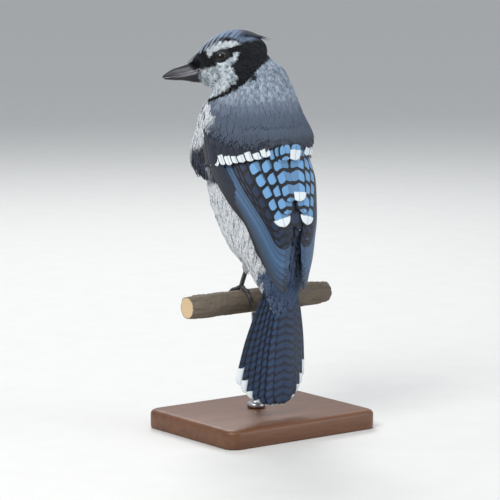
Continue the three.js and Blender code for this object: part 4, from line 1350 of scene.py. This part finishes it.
def crest_tint(points, _):
    along, side, up = in_head(points)
    over_line = up - SIDE_DROP * np.abs(side) - crown_line(along)[..., 0]
    tint = layer(plumage(points), 0.7, HUE.crown)
    tint = layer(tint, fall(over_line, 2.1, 0.9), HUE.black)
    tint = layer(tint, 0.5 * smooth(cloud(points, 7, 31)), CREST_BLUE)
    tint = layer(tint, 0.55 * rise(along, 3, 9), CREST_PALE)
    tint = layer(tint, 0.94 * fall(along, -1.5, 8), CREST_END)
    return tint * joined(crest, "shade")[:, None]


def soft_piece(name, vanes, tint_at, stretch):
    """Vanes in the coat's own finish. tint_at gives colours from places and from distances to the tip."""
    mesh = new_mesh(name, [part for part, _ in vanes])
    from_tip, edge = joined(vanes, "from_tip"), joined(vanes, "edge")
    store_tint(mesh, tint_at(points_of(mesh), from_tip))
    store(mesh, "along", from_tip * stretch)
    store(mesh, "across", edge)
    bake_patches(mesh, joined(vanes, "root"), joined(vanes, "down"), edge)
    mesh.materials.append(coat_finish)
    dress(link_object(name, mesh), "head_feathers")
    print(name, len(vanes), "feathers", triangles_of(mesh), "triangles")


crest = [
    crest_vane(root, tip, spread, lift, lean)
    for root, tip, count, spread, lift in CREST_ROWS for lean in np.linspace(-1, 1, count)
]
soft_piece("crest_feathers", crest, crest_tint, 0.3)

# %% [markdown]
# The bill.
# A jay's bill is a stout dark cone with a ridge along its top, a straight cutting edge and a slightly
# hooked tip. Two lofts make it, the lower one a shade narrower so that the line of the mouth shows, and
# a soft pale edge of gape lies in each corner of the mouth. Horn is smooth and a little glossy; along
# the cutting edge it is paler, partly the gape's pale line and partly painted sheen.

# %% Bill
BILL = {"root": 15.5, "upper_tip": 43.8, "lower_tip": 42.6, "lower_share": 0.94}
HORN, HORN_GAPE_LINE_AND_SHEEN, HORN_UNDER_SHADE, HORN_TIP = (paint(*swatch) for swatch in (
    (38, 38, 45), (150, 148, 158), (26, 26, 31), (32, 32, 38)
))
horn, horn_tree = new_material("horn", Roughness=0.36, Specular_IOR_Level=0.3)
horn_grain = noise(horn_tree, 500, stretch=(0.3, 0.3, 1))
cover(horn_tree, grained_tint(horn_tree, 0.5, horn_grain), horn_grain, 0.0002, 0.4)


def upper_section(row):
    return row[0], row[2] + BILL_GAP / 2, row[1]


def lower_section(row):
    return row[0] * BILL["lower_share"], row[2] - BILL_GAP / 2, min(row[3], row[2] - 0.5)


def horn_tint(points):
    along, _, up = in_head(points)
    mouth = bill_at(along)[:, 2]
    # pale along the cutting edge: partly the gape's pale line, partly painted sheen
    edge_line_and_sheen = smooth(1.2 - np.abs(up - mouth) / 1.5) * fall(along, 40, 16)
    tint = layer(np.broadcast_to(HORN, points.shape), edge_line_and_sheen, HORN_GAPE_LINE_AND_SHEEN)
    # darker below the mouth: painted shade on the bill's underside
    tint = layer(tint, 0.6 * smooth((mouth - 1.6 - up) / 1.5), HORN_UNDER_SHADE)
    return layer(tint, 0.5 * rise(along, 38, 5), HORN_TIP)


def bill_half(name, to, section, node):
    turn = around(36)
    outward = np.maximum(0, np.sin(turn))
    keel = outward ** 1.15
    rings = []
    for along in np.linspace(BILL["root"], to, 70):
        half, flat, round_edge = section(bill_at(along))
        half += 0.9 * fall(along, 22, 6)
        narrowed = np.cos(turn) * (1 - 0.12 * outward)
        inward = 0.4 * np.maximum(0, -np.sin(turn)) * np.sign(flat - round_edge)
        rings.append(head_point(along, half * narrowed, flat - inward * 0.3 + (round_edge - flat) * keel))
    piece = solid_piece(name, [loft(rings)], horn, "bill", node)
    store_tint(piece.data, horn_tint(points_of(piece.data)))


def gape_vane(side):
    front, corner = np.array([21, side * 5.0, -8.6]), np.array([10.8, side * 10.9, -6.3])

    def lie_at(t, across, sunk):
        at = mix(front, corner, t[..., None])
        out = 1.1 * np.sin(math.pi * t) + 0.75 - sunk
        return head_point(at[..., 0], at[..., 1] + side * out, at[..., 2] + across)

    return vane(lie_at, lambda t: mix(1.7, 0.5, t)[:, None], 12, 18, 7, 0.8, {})


bill_half("bill_upper_horn", BILL["upper_tip"], upper_section, "bill_upper")
bill_half("bill_lower_horn", BILL["lower_tip"], lower_section, "bill_lower")
gape_vanes = [gape_vane(side) for side in (-1, 1)]
gape = solid_piece("gape_edges", [part for part, _ in gape_vanes], horn, "bill")
from_middle = smooth(np.abs(joined(gape_vanes, "edge")))
store_tint(gape.data, between(paint(158, 150, 156), paint(64, 60, 66), from_middle))
print("bill made, gape of", triangles_of(gape.data), "triangles")

# %% [markdown]
# The eyes.
# A jay's eye is dark brown, nearly black, wet and round, set in a thin dark ring of lid. A ball with
# its pole outwards lets the finish draw pupil and iris as rings, and a clear coat gives the wet
# highlight.

# %% Eyes
EYE_STOPS = [(0.3, (12, 8, 7)), (0.6, (30, 18, 12)), (0.78, (22, 13, 9)), (0.84, (5, 4, 4))]
eye_material, eye_tree = new_material(
    "wet_eye", Roughness=0.12, Coat_Weight=0.35, Coat_Roughness=0.02, Specular_IOR_Level=0.2
)
iris = add(eye_tree, "ShaderNodeValToRGB", {"Fac": attribute(eye_tree, "outward")})
stops = iris.color_ramp.elements
stops[0].position, stops[1].position = EYE_STOPS[0][0], EYE_STOPS[-1][0]
for place, _ in EYE_STOPS[1:-1]:
    stops.new(place)
for stop, (_, swatch) in zip(stops, EYE_STOPS):
    stop.color = rgba(*swatch)
cover(eye_tree, blend_colors(eye_tree, 0.4, iris.outputs[0], noise(eye_tree, 1500), "SOFT_LIGHT"))


def ball_rings(centre, pole, radius, rows, sides):
    pole = unit(np.asarray(pole, float))
    across = unit(np.cross(pole, UP))
    over = np.cross(across, pole)
    turn = around(sides)[:, None]
    tilt = np.linspace(0.03, math.pi - 0.03, rows)[:, None, None]
    outward = across * np.cos(turn) + over * np.sin(turn)
    return centre + radius * (np.cos(tilt) * pole + np.sin(tilt) * outward)


def make_eye(word, side):
    centre, pole = head_point(EYE["along"], side * EYE["side"], EYE["up"]), side * ASIDE
    ball = loft(ball_rings(centre, pole, EYE["radius"], 40, 48))
    eye = solid_piece(f"eye_ball_{word}", [ball], eye_material, "eye", f"eye_{word}")
    store(eye.data, "outward", (points_of(eye.data) - centre) @ pole / EYE["radius"])
    print(eye.name, triangles_of(eye.data), "triangles")


print("iris of", len(stops), "rings")

# %% Lids
LID = {"wide": 3.75, "tall": 2.75, "outer_wide": 5.6, "outer_tall": 4.9, "ball": 4.35, "thickness": 0.5}
LID_PALE = paint(120, 124, 130)
lid_material, lid_tree = new_material("lid", Roughness=0.5)
cover(lid_tree, grained_tint(lid_tree, 0.5, noise(lid_tree, 900)))


def lid_rings(side):
    turn = around(56)
    rings = []
    for share in np.linspace(0, 1, 9):
        bulge = math.sin(math.pi * min(1, share * 1.15)) * 0.35
        wide, tall = mix(LID["wide"], LID["outer_wide"], share), mix(LID["tall"], LID["outer_tall"], share)
        height = tall * np.sin(turn) * np.where(np.sin(turn) > 0, 0.94, 1)
        on_ball = LID["ball"]**2 - (wide * np.cos(turn)) ** 2 - height**2
        out = EYE["side"] + np.sqrt(np.maximum(0, on_ball)) * (1 - share) + bulge + share * 2.1
        rings.append(head_point(EYE["along"] + wide * np.cos(turn), side * out, EYE["up"] + height))
    return np.array(rings)


def lid_tint(points):
    along, _, up = in_head(points)
    reach = np.hypot((along - EYE["along"]) / LID["wide"], (up - EYE["up"]) / LID["tall"])
    pale = fall(reach, 1.16, 0.08) * fall(along, EYE["along"] + 1, 2)
    return layer(np.broadcast_to(HUE.black, points.shape), 0.7 * pale, LID_PALE)


def make_lid(word, side):
    front = lid_rings(side)
    whole = np.concatenate([front, (front - side * ASIDE * LID["thickness"])[::-1]])
    rows, sides, _ = whole.shape
    faces, last = ring_faces(rows, sides), (rows - 1) * sides
    faces += [[last + k, last + (k + 1) % sides, (k + 1) % sides, k] for k in range(sides)]
    lid = solid_piece(f"lid_{word}", [(whole.reshape(-1, 3), faces)], lid_material, "head_feathers")
    store_tint(lid.data, lid_tint(points_of(lid.data)))
    print(lid.name, triangles_of(lid.data), "triangles")


for word, side in SIDES:
    make_eye(word, side)
    make_lid(word, side)

# %% [markdown]
# Nasal bristles.
# Stiff little feathers lie forward over a jay's nostrils, and short ones where the lower bill meets the
# cheek. They run the other way from the rest of the face, so they are laid in rows of narrow vanes of
# their own along the bill's root.

# %% Nasal and chin bristles
BRISTLES = 14
NASAL_TOP, NASAL_LOW, CHIN_DARK, CHIN_PALE = (paint(*swatch) for swatch in (
    (92, 100, 114), (26, 28, 34), (36, 38, 46), (150, 160, 170)
))


def nasal_vane(side, share, reach):
    root = np.array([19 - 1.2 * share, side * (0.8 + 5.6 * share), 4.6 - 7.6 * share])
    tip = np.array([28 - 3.2 * share + reach, side * (0.4 + 4.6 * share), -3.7 - 4.2 * share])

    def lie_at(t, across, sunk):
        at = mix(root, tip, t[..., None])
        return head_point(at[..., 0], at[..., 1] + across, at[..., 2] + 0.35 * np.sin(math.pi * t) - sunk)

    return vane(lie_at, lambda t: 1.5 * crest_width(t), 11, 9, 5, 0.3, {})


def chin_vane(side, share, reach):
    root = np.array([19.2, side * (5.9 - 3.4 * share), -8.2 - 7 * share])

    def lie_at(t, across, sunk):
        at = root + t[..., None] * np.array([reach, -side * 0.7, -0.2])
        out = 0.45 + 0.5 * np.sin(math.pi * t) - sunk
        return head_point(at[..., 0], at[..., 1] + side * out, at[..., 2] + across)

    return vane(lie_at, lambda t: 0.9 * crest_width(t), reach, 7, 5, 0.25, {})


def bristle_tint(points, from_tip):
    up = in_head(points)[2]
    nasal = between(NASAL_TOP, NASAL_LOW, fall(up, 0.5, 4))
    return layer(nasal, fall(up, -8.2, 0.8), between(CHIN_DARK, CHIN_PALE, rise(from_tip, 0.4, 1.6)))


bristles = []
for side in (-1, 1):
    for k in range(BRISTLES):
        bristles.append(nasal_vane(side, k / (BRISTLES - 1), DRAW.uniform(-1, 1)))
    for k in range(BRISTLES):
        share = (k + DRAW.uniform(-0.3, 0.3)) / (BRISTLES - 1)
        bristles.append(chin_vane(side, share, DRAW.uniform(1.2, 3.2)))
soft_piece("nasal_bristles", bristles, bristle_tint, 0.2)

# %% [markdown]
# The feet.
# A perching foot has three toes forward and one back, scaled above and padded below, each with a curved
# claw. Each toe is a tube bent round the branch, with its scutes as steps in the radius and its pads as
# swells.

# %% Feet
# of each toe: how far it splays outwards, where round the branch it begins and ends, and its radius
TOES = [(-5.5, 8, 82, 1.25), (0.6, 4, 98, 1.35), (6.5, 8, 84, 1.25), (-0.8, -8, -82, 1.45)]
SHANK_RADIUS = 1.35
FOOT_PAD = {"z": 91.1, "radius": 3, "flatness": 0.52}
CLAW = {"turn": 42, "share": 0.62, "tip": 0.12}
foot_material, foot_tree = new_material("foot_scales", Roughness=0.45)
cells = add(foot_tree, "ShaderNodeTexVoronoi", {"Vector": placed(foot_tree), "Scale": 1300.0})
cells = cells.outputs["Distance"]
cover(foot_tree, blend_colors(foot_tree, cells, rgba(34, 34, 38), rgba(66, 66, 72)), cells, 0.0002, 0.7)
claw_material, claw_tree = new_material("claw", Roughness=0.25)
cover(claw_tree, blend_colors(claw_tree, noise(claw_tree, 900), rgba(18, 18, 20), rgba(44, 42, 44)))


def toe_parts(x, splay, begin, end, radius):
    def lie_at(turn, thick, share):
        reach = PERCH["radius"] + 0.15 + thick
        angle = np.radians(turn)
        y, z = PERCH["y"] + reach * np.sin(angle), PERCH["z"] + reach * np.cos(angle)
        return np.stack([x + splay * share, y, z], -1)

    t = np.linspace(0, 1, 46)
    scutes = 0.05 * np.abs(np.sin(13 * math.pi * t))
    radii = radius * (1 - 0.2 * t) * (1 + 0.09 * np.cos(5 * math.pi * t) + scutes)
    radii[-1] *= 0.6
    way = np.sign(end - begin)
    claw = np.linspace(0, 1, 18)
    claw_radii = radius * CLAW["share"] * (1 - claw) ** 0.8 + CLAW["tip"]
    claw_lift = claw_radii + 0.5 * np.sin(math.pi * claw)
    claw_path = lie_at(end - 5 * way + way * CLAW["turn"] * claw, claw_lift, 1 + 0.15 * claw)
    toe_tube = loft(tube(lie_at(mix(begin, end, t), radii, t), radii, 18))
    return toe_tube, loft(tube(claw_path, claw_radii, 14))


def shank_and_pad(side):
    shares = np.linspace(0, 0.5, 60)
    steps_down = 0.16 * (1 - (shares * 22) % 1)
    shank = loft(tube([tarsus_point(side, t) for t in shares], SHANK_RADIUS + steps_down, 18))
    centre = np.array([side * FOOT_SPREAD, PERCH["y"], FOOT_PAD["z"]])
    points, faces = loft(ball_rings(centre, UP, FOOT_PAD["radius"], 16, 20))
    points[:, 2] = FOOT_PAD["z"] + (points[:, 2] - FOOT_PAD["z"]) * FOOT_PAD["flatness"]
    return [shank, (points, faces)]


for word, side in SIDES:
    made = [toe_parts(side * FOOT_SPREAD, side * splay, *toe) for splay, *toe in TOES]
    parts = shank_and_pad(side) + [toe for toe, _ in made] + [claw for _, claw in made]
    foot = solid_piece(f"foot_skin_{word}", parts, foot_material, "foot", f"foot_{word}")
    foot.data.materials.append(claw_material)
    kinds = np.zeros(len(foot.data.polygons), np.int32)
    kinds[-sum(len(claw[1]) for _, claw in made):] = 1
    foot.data.polygons.foreach_set("material_index", kinds)
print("a foot of", len(TOES), "toes and", triangles_of(foot.data), "triangles")

# %% [markdown]
# The branch and the stand.
# A short cut branch gives the feet their perch. Its bark is modelled as real relief, furrows and knots
# moved out of a fine loft, so the outline is rough too. A steel rod and a bevelled wooden base hold it
# up.

# %% Branch
# of each knot: where it is along the branch and round it, and its height
KNOTS = [(-38, 2.2, 1.1), (33, 4.4, 0.9)]
SAWN = {"wood_radius": 6.4, "depth": 0.55}
bark, bark_tree = new_material("bark", Roughness=0.85)
bark_grain = noise(bark_tree, 420, 6, stretch=(0.18, 1, 1))
bark_patch = math_node(bark_tree, "MULTIPLY", noise(bark_tree, 90, 3), 0.6)
bark_color = blend_colors(bark_tree, bark_grain, rgba(58, 46, 38), rgba(128, 112, 96))
bark_color = blend_colors(bark_tree, bark_patch, bark_color, rgba(108, 104, 92))
from_axis = placed(bark_tree, Location=(0, -PERCH["y"] * MM, -PERCH["z"] * MM))
year_rings = add(
    bark_tree, "ShaderNodeTexWave", {"Vector": from_axis, "Scale": 320.0, "Distortion": 1.5},
    wave_type="RINGS", rings_direction="X",
).outputs["Fac"]
cut_color = blend_colors(bark_tree, year_rings, rgba(196, 168, 128), rgba(222, 198, 160))
bark_color = blend_colors(bark_tree, attribute(bark_tree, "cut"), bark_color, cut_color)
cover(bark_tree, bark_color, bark_grain, 0.0006, 0.8)
turn = around(110)


def branch_ring(x):
    end = 0.8 * rise(abs(x), 47, 9)
    swell = sum(
        height * np.exp(-(((x - at) / 5) ** 2 + ((1 - np.cos(turn - where)) / 0.35) ** 2))
        for at, where, height in KNOTS
    )
    spots = np.stack([0 * turn + x, PERCH["radius"] * np.cos(turn), PERCH["radius"] * np.sin(turn)], -1)
    furrows = cloud(spots * [0.22, 1, 1], 4.2, 41) + 0.5 * cloud(spots * [0.5, 1, 1], 1.9, 42)
    quiet = 1 - 0.75 * hill(abs(x), FOOT_SPREAD, 9)
    reach = PERCH["radius"] - end + swell - 0.12 + 0.34 * np.clip(furrows, -1.2, 0.6) * quiet
    y, z = PERCH["y"] + reach * np.sin(turn), PERCH["z"] + reach * np.cos(turn)
    return np.stack([0 * turn + x, y, z], -1)


def sawn_end(ring, way):
    """Rings across an end from its rim to its middle, a little hollow."""
    centre = ring.mean(0)
    return [
        centre + (ring - centre) * share - np.array([way * 0.5 * (1 - share) ** 2, 0, 0])
        for share in (0.9, 0.6, 0.3, 0.08)
    ]


bark_rings = [branch_ring(x) for x in np.linspace(PERCH["left"], PERCH["right"], 190)]
branch_rings = sawn_end(bark_rings[0], -1)[::-1] + bark_rings + sawn_end(bark_rings[-1], 1)
branch = solid_piece("branch", [loft(branch_rings)], bark, "bark", "perch")
branch_points = points_of(branch.data)
off_axis = np.hypot(branch_points[:, 1] - PERCH["y"], branch_points[:, 2] - PERCH["z"])
at_left = branch_points[:, 0] < PERCH["left"] + SAWN["depth"]
at_right = branch_points[:, 0] > PERCH["right"] - SAWN["depth"]
store(branch.data, "cut", (at_left | at_right) & (off_axis < SAWN["wood_radius"]))
print("branch of", triangles_of(branch.data), "triangles")

# %% Rod and base
# height and radius along the rod, with its collar on the base
ROD_PROFILE = [(12.3, ROD_RADIUS), (12.3, 5.6), (13.4, 6), (14.6, 6), (15.4, 5.4), (15.6, 3.4)]
ROD_PROFILE += [(z, ROD_RADIUS) for z in (17, *np.linspace(20, 73.4, 12))]
# height up the base's edge and how far in it is
BASE_PROFILE = [
    (0, 1.2), (0.35, 0.35), (1.2, 0), (6, 0), (9.2, 0), (10, 0.2), (11, 0.8), (11.7, 1.9), (12, 3.2),
]
steel, steel_tree = new_material("brushed_steel", Roughness=0.32, Metallic=1.0)
brushed = noise(steel_tree, 700, 2, stretch=(1, 1, 0.04))
steel_color = blend_colors(steel_tree, brushed, rgba(150, 152, 155), rgba(190, 192, 195))
cover(steel_tree, steel_color, brushed, 0.00005, 0.5)
rod_rings = [
    np.stack([r * np.cos(turn), PERCH["y"] + r * np.sin(turn), 0 * turn + z], -1) for z, r in ROD_PROFILE
]
rod = solid_piece("steel_rod", [loft(rod_rings)], steel, "stand_steel", "stand_rod")

wood, wood_tree = new_material("oiled_wood", Roughness=0.42)
wood_rings = noise(wood_tree, 170, 5, stretch=(0.09, 1, 1), distortion=0.6)
pores = noise(wood_tree, 1500, 2, stretch=(0.05, 1, 1))
wood_color = blend_colors(wood_tree, wood_rings, rgba(66, 38, 22), rgba(128, 82, 50))
cover(wood_tree, blend_colors(wood_tree, 0.35, wood_color, pores, "SOFT_LIGHT"), pores, 0.0001, 0.5)


def base_ring(z, inset):
    corner = max(BASE["corner"] - inset * 0.6, 1)
    wide, deep = BASE["length"] / 2 - inset, BASE["depth"] / 2 - inset
    outline = []
    for quarter, (sx, sy) in enumerate([(1, 1), (-1, 1), (-1, -1), (1, -1)]):
        angle = np.linspace(0, math.pi / 2, 14) + quarter * math.pi / 2
        x = sx * (wide - corner) + corner * np.cos(angle)
        y = sy * (deep - corner) + corner * np.sin(angle)
        outline += np.stack([x, y, 0 * angle + z], -1).tolist()
    return outline


base_rings = [base_ring(z, inset) for z, inset in BASE_PROFILE]
base = solid_piece("wooden_base", [loft(base_rings)], wood, "stand_wood", "stand_base")
print("rod and base of", triangles_of(rod.data), "and", triangles_of(base.data), "triangles")
